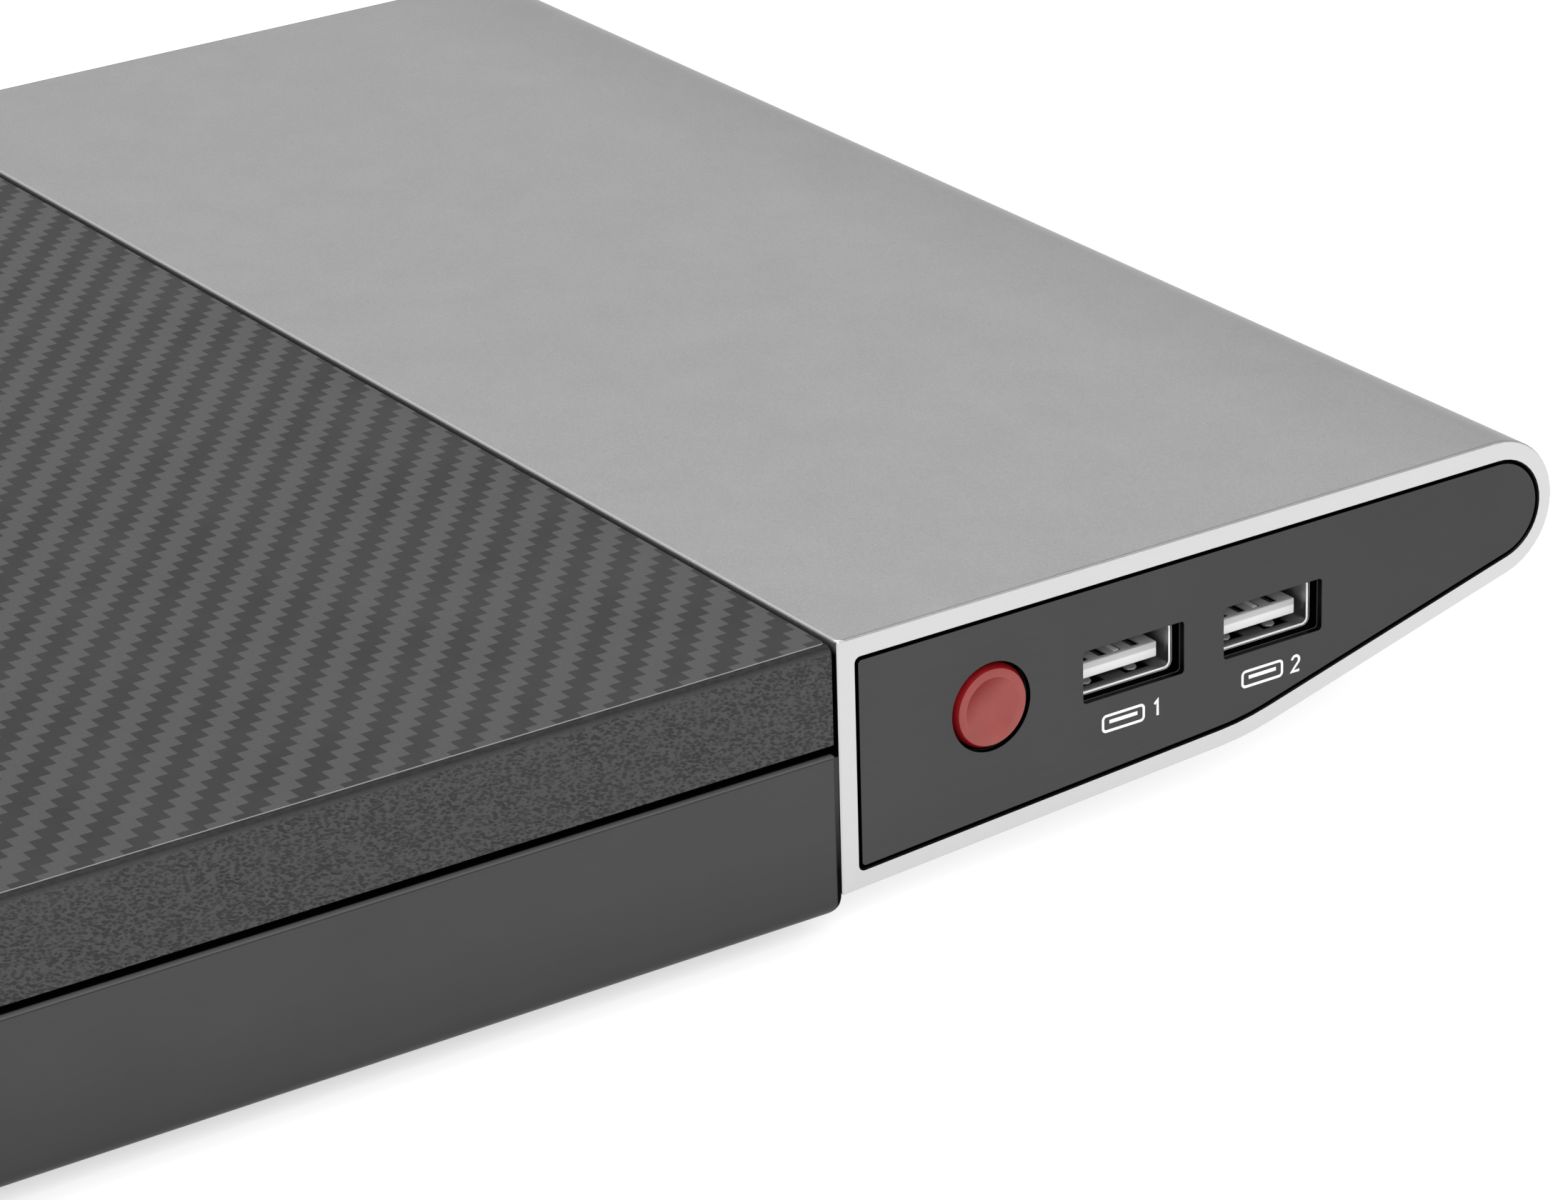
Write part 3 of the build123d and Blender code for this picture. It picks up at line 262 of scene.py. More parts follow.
def rgba(value):
    """A grey level or a red, green and blue triple as a full colour. A node's output stays as it is."""
    if isinstance(value, bpy.types.NodeSocket):
        return value
    if isinstance(value, (int, float)):
        return (value, value, value, 1.0)
    return (*value, 1.0)


def shade(value, factor):
    """The same grey or colour, that much lighter or darker."""
    if isinstance(value, (int, float)):
        return value * factor
    return tuple(part * factor for part in value)


def unlit_walls(look, facing, y, z, from_end):
    """1 on the extrusion's inner walls and on its rear wall where the cover shades it, 0 elsewhere."""
    middle = (fascia_low + fascia_high) / 2
    inward_y = look.times(facing["Y"], look.minus(middle.y, y))
    inward_z = look.times(facing["Z"], look.minus(middle.z, z))
    inner = look.span(look.plus(inward_y, inward_z), 0.2 * MM, 0.5 * MM)
    rear = look.times(look.span(facing["Y"], 0.6, 0.9), look.span(from_end, 0.15 * MM, 0.35 * MM))
    covered = look.span(z, fascia_high.z - 0.8 * MM, fascia_high.z - 1.8 * MM)
    return look.calc("MAXIMUM", inner, look.times(rear, covered))


def satin_aluminium():
    """Bead-blasted, clear anodised extrusion whose sawn ends are machined bright; painted shade lies
    along its end edges, towards the nose and on its unlit walls, and painted highlights lie along its
    rear top edge and corners.
    """
    look = Surface("satin_aluminium", metallic=1.0)
    x, y, z = look.axes()
    facing = look.facing()
    from_end = look.minus(fascia_high.x, look.calc("ABSOLUTE", x))
    from_rear = look.minus(fascia_high.y, y)
    grain = look.noise(0.16 * MM, detail=3.0)
    cloud = look.noise(9 * MM, detail=3.0)
    mottle = look.plus(look.times(grain, 0.85), look.times(cloud, 0.15))

    blasted = look.blend(look.span(mottle, 0.35, 0.65), 0.40, 0.50)
    # Painted shade: a dark band on the blasted face just before each machined end, where its rounded edge
    # turns away from the light.
    rim = look.span(from_end, 0.44 * MM, 0.38 * MM, 0.0, 0.6)
    blasted = look.blend(rim, blasted, 0.16)
    # Painted shade: the blasted face darkens towards the nose.
    nose_shade = look.span(look.minus(y, fascia_low.y), 30 * MM, 4 * MM, 0.0, 0.12)
    blasted = look.blend(nose_shade, blasted, 0.0)
    machined = look.vary(mottle, 0.50, 0.54)
    cut = look.span(from_end, 0.20 * MM, 0.21 * MM, 1.0, 0.0)

    top = look.span(facing["Z"], 0.6, 0.8)
    # Painted highlights: a light line along the rear top edge's chamfer, and a bright spot where the
    # chamfers meet at each top rear corner.
    chamfer_highlight = look.times(look.span(from_rear, 0.42 * MM, 0.30 * MM), top)
    corner = look.times(look.span(look.plus(from_end, from_rear), 1.3 * MM, 1.0 * MM), top)
    shown = look.blend(chamfer_highlight, look.blend(cut, blasted, machined), 0.62)
    shown = look.blend(corner, shown, 0.98)
    shown = look.blend(unlit_walls(look, facing, y, z, from_end), shown, 0.008)
    look.drive("color", shown)
    look.drive("roughness", look.calc("MULTIPLY_ADD", cut, -0.12, look.span(grain, 0.3, 0.7, 0.44, 0.52)))
    look.relief(grain, 0.02 * MM, 0.8)
    return look.material


def brushed_dark():
    """Dark anodised plate, brushed lengthwise and darkened towards the nose as painted shade, with unlit
    edges and a painted thin highlight along their back edge.
    """
    look = Surface("brushed_dark")
    x, y, _ = look.axes()
    streak = look.noise(0.14 * MM, detail=3.0, stretch=(1, 60, 1))
    grain = look.noise(0.2 * MM, detail=2.0)
    cloud = look.noise(14 * MM, detail=2.0)
    tone = look.plus(look.times(streak, 0.7), look.times(cloud, 0.3))
    # Painted shade: the plate darkens towards the nose.
    nose_shade = look.span(y, plate_high.y, plate_low.y, 0.0, 0.24)
    face = look.blend(nose_shade, look.vary(tone, 0.037, 0.047), 0.0)
    inset = look.minus(-face_x, look.calc("ABSOLUTE", x))
    edge = look.span(inset, 0.03 * MM, 0.08 * MM)
    # Painted highlight: a thin light line along the back edge of the plate's cut walls, which are painted
    # unlit black in front of it.
    back_edge_highlight = look.span(inset, 0.90 * MM, 0.93 * MM)
    look.drive("color", look.blend(edge, face, look.blend(back_edge_highlight, 0.001, 0.16)))
    look.drive("specular", look.span(edge, 0.0, 1.0, 0.5, 0.05))
    look.drive("metallic", look.span(edge, 0.0, 1.0, 0.6, 0.0))
    look.roughen(streak, 0.42, 0.5)
    look.relief(look.plus(look.times(streak, 0.7), look.times(grain, 0.3)), 0.006 * MM, 0.6)
    return look.material


def leather_creases(look, x, y, z):
    """Leather grain from 0 to 1: long creases that lean back and wander."""
    crease_size = 0.33 * MM
    warp = look.times(look.noise(1.6 * MM, detail=2.0), 0.5 * MM)
    lean = look.plus(look.calc("MULTIPLY_ADD", y, -0.2, z), warp)
    spot = look.put("ShaderNodeCombineXYZ", {0: x, 1: look.times(y, 0.5), 2: lean}).outputs[0]
    settings = {"Vector": spot, "Scale": 1 / crease_size, "Detail": 1.0, "Roughness": 0.4}
    return look.put("ShaderNodeTexNoise", settings).outputs[0]


def cover_paint():
    """Black leather-grain powder coat that lies smooth round the bent shoulder, with painted shade in the
    grain's pits and a painted broken shadow under the film's edge.
    """
    look = Surface("cover_paint")
    x, y, z = look.axes()
    below = look.minus(cover_high.z, z)
    worn = look.span(look.noise(4 * MM, detail=2.0), 0.35, 0.65, 0.75, 1.0)
    side = look.times(look.span(below, 0.5 * MM, 1.0 * MM), worn)
    height = look.span(leather_creases(look, x, y, z), 0.35, 0.57)
    relief = look.calc("MULTIPLY_ADD", look.minus(height, 1.0), side, 1.0)

    shoulder = look.span(below, 0.9 * MM, 0.4 * MM)
    # Painted shadow: broken dark dashes just under the film's edge.
    gaps = look.span(look.noise(0.5 * MM, detail=1.0, stretch=(1, 2.2, 1)), 0.35, 0.6, 0.4, 1.0)
    film_shadow_dashes = look.times(look.span(below, 0.42 * MM, 0.22 * MM), gaps)
    # Painted shade: the grain's pits are coloured darker than its tops.
    grain_pit_shade = look.blend(look.span(relief, 0.1, 0.8), 0.009, 0.033)
    look.drive("color", look.blend(film_shadow_dashes, look.blend(shoulder, grain_pit_shade, 0.022), 0.009))
    look.drive("specular", look.span(below, 0.3 * MM, 0.9 * MM, 0.2, 0.4))
    look.drive("roughness", look.span(relief, 0.2, 0.8, 0.6, 0.5))
    look.relief(relief, 0.18 * MM, 1.0)
    return look.material


def under_joggle(look, y, z):
    """Depth below the tray's joggle, which dips at its front. The rear panel counts as far below."""
    corner = look.span(look.minus(y, chassis_front), 0.7 * MM, 0.0)
    rounding = look.times(look.calc("POWER", corner, 2.0), 0.55 * MM)
    rear_panel = look.span(y, tray_rear - 1.6 * MM, tray_rear - 1.4 * MM, 0.0, 30 * MM)
    return look.plus(look.minus(look.minus(joggle_z, z), rounding), rear_panel)


def tray_paint():
    """Smooth satin black powder coat, drawn faintly lengthwise, with painted shade towards the bottom, a
    painted highlight on the hem, painted dark lines under the hem and along the front edge, and unlit
    black inside the seams.
    """
    look = Surface("tray_paint")
    _, y, z = look.axes()
    behind_front = look.minus(y, chassis_front)
    below = under_joggle(look, y, z)
    drawn = look.noise(0.3 * MM, detail=3.0, stretch=(10, 14, 1))
    grain = look.noise(0.22 * MM, detail=2.0)
    cloud = look.noise(18 * MM, detail=2.0)
    tone = look.plus(look.times(drawn, 0.5), look.times(cloud, 0.5))
    face = look.vary(tone, 0.0205, 0.0275)
    # Painted shade: the face darkens towards the bottom.
    low = look.plus(look.span(z, 16 * MM, 6 * MM, 0.0, 0.32), look.span(z, 7 * MM, 4 * MM, 0.0, 0.26))
    face = look.blend(low, face, 0.0)

    # Painted highlight on the hem's bend, fading into painted shade at the seam above it.
    hem_highlight = look.blend(look.span(below, 0.08 * MM, 0.5 * MM), 0.004, 0.052)
    face = look.blend(look.span(below, 0.64 * MM, 0.58 * MM), face, hem_highlight)
    # Painted shade: a thin dark line under the hem's bend, and a dark strip along the front edge where it
    # turns into the seam at the fascia.
    line_top = look.span(below, 0.62 * MM, 0.66 * MM)
    line = look.times(line_top, look.span(below, 0.84 * MM, 0.78 * MM))
    front = look.span(behind_front, 0.34 * MM, 0.24 * MM)
    face = look.blend(look.calc("MAXIMUM", line, front), face, 0.003)
    seam = look.span(below, 0.14 * MM, 0.08 * MM)
    gap = look.times(look.span(behind_front, 0.22 * MM, 0.10 * MM), look.span(z, 20 * MM, 10 * MM))
    look.drive("color", look.blend(seam, face, 0.001))
    look.drive("specular", look.span(look.calc("MAXIMUM", seam, gap), 0.0, 1.0, 0.4, 0.0))
    look.roughen(drawn, 0.42, 0.5)
    look.relief(look.plus(drawn, grain), 0.008 * MM, 0.5)
    return look.material


def carbon_film():
    """Embossed film printed as a two-and-two twill of flat tows, with a painted highlight on its cut
    edge.
    """
    tow_x, tow_y = 2.083 * MM, 1.79 * MM
    start_x, start_y = film_low.x + 1.244 * MM, film_low.y + 0.63 * MM
    thread = 0.24 * MM
    look = Surface("carbon_film", specular=0.3)
    x, y, _ = look.axes()
    row = look.calc("FLOOR", look.calc("DIVIDE", look.minus(y, start_y), tow_y))
    column = look.calc("DIVIDE", look.minus(x, start_x), tow_x)
    turn = look.calc("FRACT", look.calc("DIVIDE", look.plus(column, row), 4.0))
    across = look.calc("LESS_THAN", turn, 0.5)
    ribs_y = look.calc("SINE", look.times(y, 2 * math.pi / thread))
    ribs_x = look.calc("SINE", look.times(x, 2 * math.pi / thread))
    ribs = look.put("ShaderNodeMix", {0: across, 2: ribs_x, 3: ribs_y}).outputs[0]
    speck = look.noise(0.3 * MM, detail=3.0)
    cloud = look.noise(20 * MM, detail=2.0)

    woven = look.blend(across, look.vary(speck, 0.011, 0.016), look.vary(speck, 0.048, 0.062))
    woven = look.blend(look.span(cloud, 0.35, 0.65, 0.0, 0.10), woven, 0.09)
    # Painted highlight on the film's cut edge.
    lit_cut_edge = look.span(look.facing()["Z"], 0.9, 0.6)
    look.drive("color", look.blend(lit_cut_edge, woven, 0.32))
    look.drive("roughness", look.span(across, 0.0, 1.0, 0.46, 0.4))
    height = look.plus(look.times(ribs, 0.12), look.times(speck, 0.3))
    look.relief(look.plus(height, look.times(across, 0.35)), 0.02 * MM, 0.5)
    return look.material


def moulded(name, color, roughness=0.45, grain=0.25 * MM, depth=0.01 * MM, specular=0.5, change=0.16):
    """Moulded plastic or rubber: fine spark texture, and a slow change of shade."""
    look = Surface(name, specular=specular)
    fine = look.noise(grain, detail=3.0)
    slow = look.noise(6 * MM, detail=2.0)
    tone = look.plus(look.times(fine, 0.5), look.times(slow, 0.5))
    look.drive("color", look.vary(tone, shade(color, 1 - change), shade(color, 1 + change)))
    look.roughen(fine, roughness - 0.05, roughness + 0.06)
    look.relief(fine, depth, 0.6)
    return look.material


def black_plastic():
    """Moulded black plastic, fully black where the end carriers lie in the plates' shade."""
    look = Surface("black_plastic")
    x, _, _ = look.axes()
    fine = look.noise(0.25 * MM, detail=3.0)
    inset = look.minus(-face_x, look.calc("ABSOLUTE", x))
    shaded = look.times(look.span(inset, 0.8 * MM, 0.9 * MM), look.span(inset, 9.0 * MM, 6.0 * MM))
    look.drive("color", look.blend(shaded, look.vary(fine, 0.013, 0.019), 0.001))
    look.drive("specular", look.span(shaded, 0.0, 1.0, 0.5, 0.0))
    look.roughen(fine, 0.37, 0.48)
    look.relief(fine, 0.01 * MM, 0.6)
    return look.material


def metal(name, color, roughness, stretch=(1, 1, 1), grain=0.12 * MM, depth=0.005 * MM, change=0.08):
    """Bare or plated metal: fine grain that may be drawn out one way, and faint stains."""
    look = Surface(name, metallic=1.0)
    fine = look.noise(grain, detail=3.0, stretch=stretch)
    stain = look.noise(4 * MM, detail=3.0)
    tone = look.plus(look.times(fine, 0.4), look.times(stain, 0.6))
    look.drive("color", look.vary(tone, shade(color, 1 - change), shade(color, 1 + change)))
    look.roughen(tone, roughness * 0.8, roughness * 1.25)
    look.relief(fine, depth, 0.6)
    return look.material


def button_red():
    """Red moulded plastic: lighter on its face, with painted shade in deeper red round the side and on
    the dish's slopes that face away from the light.
    """
    look = Surface("button_red")
    fine = look.noise(0.18 * MM, detail=3.0)
    slow = look.noise(3 * MM, detail=2.0)
    facing = look.facing()
    face = look.span(facing["X"], -0.6, -0.93)
    # Painted shade: the side gets a deeper, darker red than the face.
    side = look.vary(slow, (0.15, 0.002, 0.004), (0.20, 0.004, 0.006))
    top = look.vary(slow, (0.215, 0.034, 0.029), (0.24, 0.040, 0.034))
    # Painted shade: the dish's slopes that face away from the light turn a darker red.
    slope = look.calc("MULTIPLY_ADD", facing["Y"], 0.6, look.times(facing["Z"], 0.8))
    shaded_slope = look.span(slope, -0.02, -0.2)
    top = look.blend(shaded_slope, top, (0.155, 0.008, 0.005))
    look.drive("color", look.blend(face, side, top))
    shine = look.calc("MULTIPLY_ADD", shaded_slope, -0.22, 0.4)
    look.drive("specular", look.times(shine, look.span(face, 0.0, 1.0, 0.3, 1.0)))
    look.roughen(fine, 0.42, 0.52)
    look.relief(fine, 0.006 * MM, 0.5)
    return look.material


def port_depth(look):
    """How far behind the end plate's face a point lies."""
    x, _, _ = look.axes()
    return look.minus(x, face_x)


def port_height(look):
    """How far above the middle of the ports a point lies."""
    _, _, z = look.axes()
    return look.minus(z, port_z)


def port_shell_look():
    """Nickel plate with a painted highlight on the mouth's rim, and painted shade down inside the tube,
    over its lower half and on its floor.
    """
    look = Surface("port_shell_plate", metallic=1.0)
    depth = port_depth(look)
    fine = look.noise(0.12 * MM, detail=3.0, stretch=(8, 8, 1))
    stain = look.noise(1.6 * MM, detail=2.0)
    near = look.vary(stain, 0.15, 0.22)
    # Painted shade over the tube's lower half and on its floor.
    lower_half_shade = look.span(port_height(look), 0.5 * MM, -0.5 * MM)
    near = look.blend(lower_half_shade, near, 0.035)
    tube_floor_shade = look.span(look.facing()["Z"], 0.3, 0.8)
    near = look.blend(tube_floor_shade, near, 0.12)
    dim = look.blend(look.span(depth, 2.2 * MM, 6.0 * MM), near, 0.06)
    # Painted highlight: the mouth's rim is nearly white.
    rim = look.vary(fine, 0.92, 1.0)
    inside = look.span(depth, 1.94 * MM, 2.0 * MM)
    look.drive("color", look.blend(inside, rim, dim))
    look.drive("metallic", look.span(inside, 0.0, 1.0, 0.1, 0.35))
    look.drive("roughness", look.span(inside, 0.0, 1.0, 0.3, 0.25))
    look.relief(fine, 0.004 * MM, 0.5)
    return look.material


def port_tongue_look():
    """White moulding with painted light: bright on the front's lower part, with painted shade on the
    front's upper part, on its ends and grey along the top, and black painted shade down in the contact
    slots.
    """
    look = Surface("port_tongue_plastic", specular=0.3)
    up = port_height(look)
    behind_front = look.minus(port_depth(look), tongue_front)
    facing = look.facing()
    slow = look.noise(1.5 * MM, detail=2.0)
    # Painted shade: the front's upper part is darker than its lower part, the top is grey and the ends
    # are dimmed.
    front = look.blend(look.span(up, -0.7 * MM, -0.5 * MM), 0.72, 0.46)
    top = look.vary(slow, 0.42, 0.50)
    shown = look.blend(look.span(facing["X"], -0.35, -0.75), top, front)
    end = look.span(facing["Y"], -0.3, -0.6)
    shown = look.blend(end, shown, 0.62)
    # Painted shade: black down in the contact slots.
    slot = look.times(look.span(up, 0.14 * MM, 0.06 * MM), look.span(behind_front, 0.6 * MM, 0.66 * MM))
    look.drive("color", look.blend(slot, shown, 0.004))
    look.roughen(slow, 0.4, 0.5)
    look.relief(slow, 0.004 * MM, 0.4)
    return look.material


def port_spring_look():
    """Plated leaf spring whose rounded tip shows grey through the shell's window."""
    look = Surface("port_spring_plate", metallic=0.3)
    fine = look.noise(0.15 * MM, detail=3.0)
    look.drive("color", look.vary(fine, 0.42, 0.52))
    look.roughen(fine, 0.35, 0.45)
    look.relief(fine, 0.004 * MM, 0.5)
    return look.material


def port_contact_look():
    """Plated contact blades: dark down in their slots, bright where one is sprung up into the light."""
    look = Surface("port_contact_plate", metallic=0.3)
    fine = look.noise(0.15 * MM, detail=3.0)
    raised = look.span(port_height(look), -0.04 * MM, 0.04 * MM)
    look.drive("color", look.blend(raised, look.vary(fine, 0.05, 0.08), 0.95))
    look.roughen(fine, 0.35, 0.45)
    look.relief(fine, 0.004 * MM, 0.5)
    return look.material


def board_green():
    """Solder mask over copper tracks that run side by side and wander together."""
    look = Surface("board_green", specular=0.5, coat=0.3, coat_roughness=0.25)
    _, y, _ = look.axes()
    track_pitch = 1.6 * MM
    lanes = look.plus(look.calc("DIVIDE", y, track_pitch), look.times(look.noise(9 * MM), 5.0))
    from_middle = look.calc("ABSOLUTE", look.minus(look.calc("FRACT", lanes), 0.5))
    bare = look.span(from_middle, 0.16, 0.2)
    weave = look.noise(0.4 * MM, detail=2.0, stretch=(2, 1, 1))
    base = look.vary(weave, (0.008, 0.075, 0.028), (0.011, 0.095, 0.036))
    look.drive("color", look.blend(bare, (0.02, 0.17, 0.06), base))
    look.roughen(weave, 0.3, 0.42)
    look.relief(look.minus(1.0, bare), 0.03 * MM, 0.5)
    return look.material


def capacitor_can():
    """Dark sleeve round an aluminium can, whose top stays bare."""
    look = Surface("capacitor_can", specular=0.5)
    top = look.span(look.facing()["Z"], 0.7, 0.9)
    fine = look.noise(0.2 * MM, detail=3.0)
    sleeve = look.vary(fine, (0.010, 0.014, 0.035), (0.016, 0.022, 0.05))
    bare = look.vary(fine, 0.5, 0.62)
    look.drive("color", look.blend(top, sleeve, bare))
    look.drive("metallic", top)
    look.roughen(fine, 0.3, 0.4)
    look.relief(fine, 0.004 * MM, 0.5)
    return look.material


materials = {
    "satin_aluminium": satin_aluminium(),
    "brushed_dark": brushed_dark(),
    "cover_paint": cover_paint(),
    "tray_paint": tray_paint(),
    "carbon_film": carbon_film(),
    "button_red": button_red(),
    "board_green": board_green(),
    "capacitor_can": capacitor_can(),
    "black_plastic": black_plastic(),
    "white_plastic": moulded("white_plastic", (0.74, 0.74, 0.72), 0.4, change=0.05),
    "green_plastic": moulded("green_plastic", (0.03, 0.26, 0.08), 0.4),
    "blue_plastic": moulded("blue_plastic", (0.015, 0.05, 0.30), 0.4),
    "chip_black": moulded("chip_black", 0.02, 0.55, grain=0.12 * MM),
    "foot_rubber": moulded("foot_rubber", 0.018, 0.75, grain=0.4 * MM, depth=0.03 * MM, specular=0.3),
    "lead_black": moulded("lead_black", 0.02, 0.5),
    "lead_red": moulded("lead_red", (0.30, 0.015, 0.015), 0.5),
    "port_plating": metal("port_plating", (0.74, 0.73, 0.71), 0.2, stretch=(8, 8, 1)),
    "gold_contact": metal("gold_contact", (0.83, 0.62, 0.28), 0.22),
    "sink_black": metal("sink_black", 0.03, 0.45),
    "steel_bright": metal("steel_bright", (0.62, 0.62, 0.61), 0.3),
    "screw_black": metal("screw_black", 0.035, 0.38, change=0.2),
    "drive_casting": metal("drive_casting", (0.46, 0.46, 0.47), 0.5, grain=0.5 * MM, depth=0.03 * MM),
    "drive_lid": metal("drive_lid", (0.66, 0.66, 0.67), 0.32, stretch=(1, 30, 1)),
    "port_shell": port_shell_look(),
    "port_tongue": port_tongue_look(),
    "port_spring": port_spring_look(),
    "port_contact": port_contact_look(),
}

for part in frame["record"]["subparts"]:
    shown = nodes[part["node"]]
    shown.data.materials.clear()
    shown.data.materials.append(materials[part["material_slot"]])


# ---------------------------------------------------------------- piece makers
def rounded_loop(x, y, z, half_y, half_z, radius, steps=5):
    """Points round a rounded rectangle that faces along X."""
    points = []
    for corner in range(4):
        middle_y = y + (half_y - radius) * (1 if corner in (0, 3) else -1)
        middle_z = z + (half_z - radius) * (1 if corner in (0, 1) else -1)
        for step in range(steps + 1):
            angle = (corner + step / steps) * math.pi / 2
            points.append((x, middle_y + radius * math.cos(angle), middle_z + radius * math.sin(angle)))
    return points


def loft(mesh, loops):
    """Joins loops of points one after another, and closes the first and the last."""
    rings = [[mesh.verts.new(point) for point in loop] for loop in loops]
    for ring, after in zip(rings, rings[1:]):
        for step in range(len(ring)):
            nearby = (step + 1) % len(ring)
            mesh.faces.new((ring[step], ring[nearby], after[nearby], after[step]))
    mesh.faces.new(rings[0][::-1])
    mesh.faces.new(rings[-1])


def brick(mesh, low, high, bevel=0.0):
    """Box between two corners, with its edges rounded off."""
    made = bmesh.ops.create_cube(mesh, size=1.0)["verts"]
    for vert in made:
        vert.co = [(a + b) / 2 + part * (b - a) for part, a, b in zip(vert.co, low, high)]
    if bevel:
        edges = list({edge for vert in made for edge in vert.link_edges})
        bmesh.ops.bevel(mesh, geom=edges, offset=bevel, segments=3, affect="EDGES", profile=0.5)


def revolve(mesh, profile, y, z, steps=96):
    """Turns (radius, x) points about a line along X. The first and the last lie on that line."""
    angles = [step * 2 * math.pi / steps for step in range(steps)]
    tips = [mesh.verts.new((profile[0][1], y, z)), mesh.verts.new((profile[-1][1], y, z))]
    rings = []
    for radius, x in profile[1:-1]:
        points = [(x, y + radius * math.cos(angle), z + radius * math.sin(angle)) for angle in angles]
        rings.append([mesh.verts.new(point) for point in points])
    for step in range(steps):
        nearby = (step + 1) % steps
        mesh.faces.new((tips[0], rings[0][step], rings[0][nearby]))
        mesh.faces.new((tips[1], rings[-1][nearby], rings[-1][step]))
        for ring, after in zip(rings, rings[1:]):
            mesh.faces.new((ring[step], after[step], after[nearby], ring[nearby]))


def finished(name, builder, sharp=35):
    """Mesh data from a builder mesh, smooth except at edges sharper than that many degrees."""
    bmesh.ops.recalc_face_normals(builder, faces=builder.faces)
    data = bpy.data.meshes.new(name)
    builder.to_mesh(data)
    builder.free()
    data.shade_smooth()
    data.set_sharp_from_angle(angle=math.radians(sharp))
    return data


def carved(name, solid, cutter, sharp=35):
    """What is left of one builder mesh when another one is cut out of it."""
    body = bpy.data.objects.new("body", finished("body", solid))
    tool = bpy.data.objects.new("tool", finished("tool", cutter))
    scene.collection.objects.link(body)
    scene.collection.objects.link(tool)
    cut = body.modifiers.new("cut", "BOOLEAN")
    cut.operation = "DIFFERENCE"
    cut.solver = "EXACT"
    cut.object = tool
    graph = bpy.context.evaluated_depsgraph_get()
    data = bpy.data.meshes.new_from_object(body.evaluated_get(graph))
    data.name = name
    data.set_sharp_from_angle(angle=math.radians(sharp))
    bpy.data.objects.remove(body)
    bpy.data.objects.remove(tool)
    return data


def place_piece(name, data, slot, body=ROOT, stands_for=(), look=None):
    """Puts a piece on a body. It wears its slot's material, or the look made for this piece alone."""
    piece = bpy.data.objects.new(name, data)
    scene.collection.objects.link(piece)
    data.materials.clear()
    data.materials.append(materials[look or slot])
    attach(piece, body)
    if stands_for:
        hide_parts(*stands_for)


# ---------------------------------------------------------------- power button
button_y = (cap_low.y + cap_high.y) / 2
button_z = (cap_low.z + cap_high.z) / 2
cap_top = cap_low.x
dish_r, flat_r, body_r = 3.95 * MM, 5.05 * MM, 5.55 * MM
flange_r, stem_r = 6.5 * MM, 2.2 * MM
flange_front = face_x + 3.1 * MM
flange_back = flange_front + 1.2 * MM
dish_depth = 0.42 * MM
dish_power = 2.2               # how flat the dish's floor is before it climbs to the rim
dish_rim = 0.1 * MM
edge_steps = ((0.04 * MM, 0.02 * MM), (0.07 * MM, 0.07 * MM))   # outward and back, round the face's edge
draft = 0.85 * MM              # depth over which the edge widens to the body
sharp_edge = 50                # degrees: only the flange and the stem have edges sharper than this


def cap_profile(steps=12):
    """Dished face, flat rim, drafted edge, the guide flange behind and the stem."""
    points = []
    for step in range(steps + 1):
        share = step / steps
        points.append((dish_r * share, cap_top + dish_depth * (1 - share ** dish_power)))
    points.append((dish_r + dish_rim, cap_top))
    points.append((flat_r, cap_top))
    points += [(flat_r + out, cap_top + back) for out, back in edge_steps]
    points += [(body_r, cap_top + draft), (body_r, flange_front)]
    points += [(flange_r, flange_front), (flange_r, flange_back)]
    points += [(stem_r, flange_back), (stem_r, cap_high.x), (0.0, cap_high.x)]
    return points


cap_mesh = bmesh.new()
revolve(cap_mesh, cap_profile(), button_y, button_z)
place_piece("button_cap_moulding", finished("button_cap_moulding", cap_mesh, sharp_edge), "button_red",
            "power_button", ("power_button_cap",))


# ---------------------------------------------------------------- side ports
port_half = 7.5 * MM
port_ys = (shells_high.y - port_half, shells_low.y + port_half)
shell_back = (shells_high.x - face_x) / MM
# Each step of a port's shell, in mm: depth behind the plate's face, half width and height, corner radius.
SHELL_STEPS = (
    (shell_back, 7.2, 3.2, 0.9),           # outside of the tube, from its rear end
    (3.3, 7.2, 3.2, 0.9),
    (2.9, 7.44, 3.38, 1.1),                # collar folded back round the mouth
    (2.1, 7.48, 3.38, 1.1),
    (1.97, 7.46, 3.36, 1.1),
    (1.97, 7.40, 3.30, 1.05),
    (2.5, 7.38, 3.28, 1.05),               # groove between the collar and the mouth
    (2.6, 7.24, 3.2, 0.95),
    (1.92, 7.19, 3.18, 0.9),               # the mouth's bright rim
    (1.88, 7.14, 3.14, 0.85),
    (1.88, 6.95, 2.95, 0.72),
    (1.93, 6.92, 2.92, 0.7),               # inside of the tube
    (shell_back - 0.3, 6.9, 2.9, 0.6),
)
shell_floor = port_z - 2.95 * MM

window_starts = (2.05 * MM, -5.1 * MM)     # along Y, from the port's middle
window_width = 3.9 * MM
window_front, window_back = face_x + 3.35 * MM, face_x + 9.2 * MM
window_low, window_high = port_z - 4 * MM, port_z - 2 * MM
spring_width, spring_thick = 1.7 * MM, 0.25 * MM
spring_root, spring_length = 9.4 * MM, 5.2 * MM
spring_bow, spring_sink = 0.75 * MM, 0.1 * MM

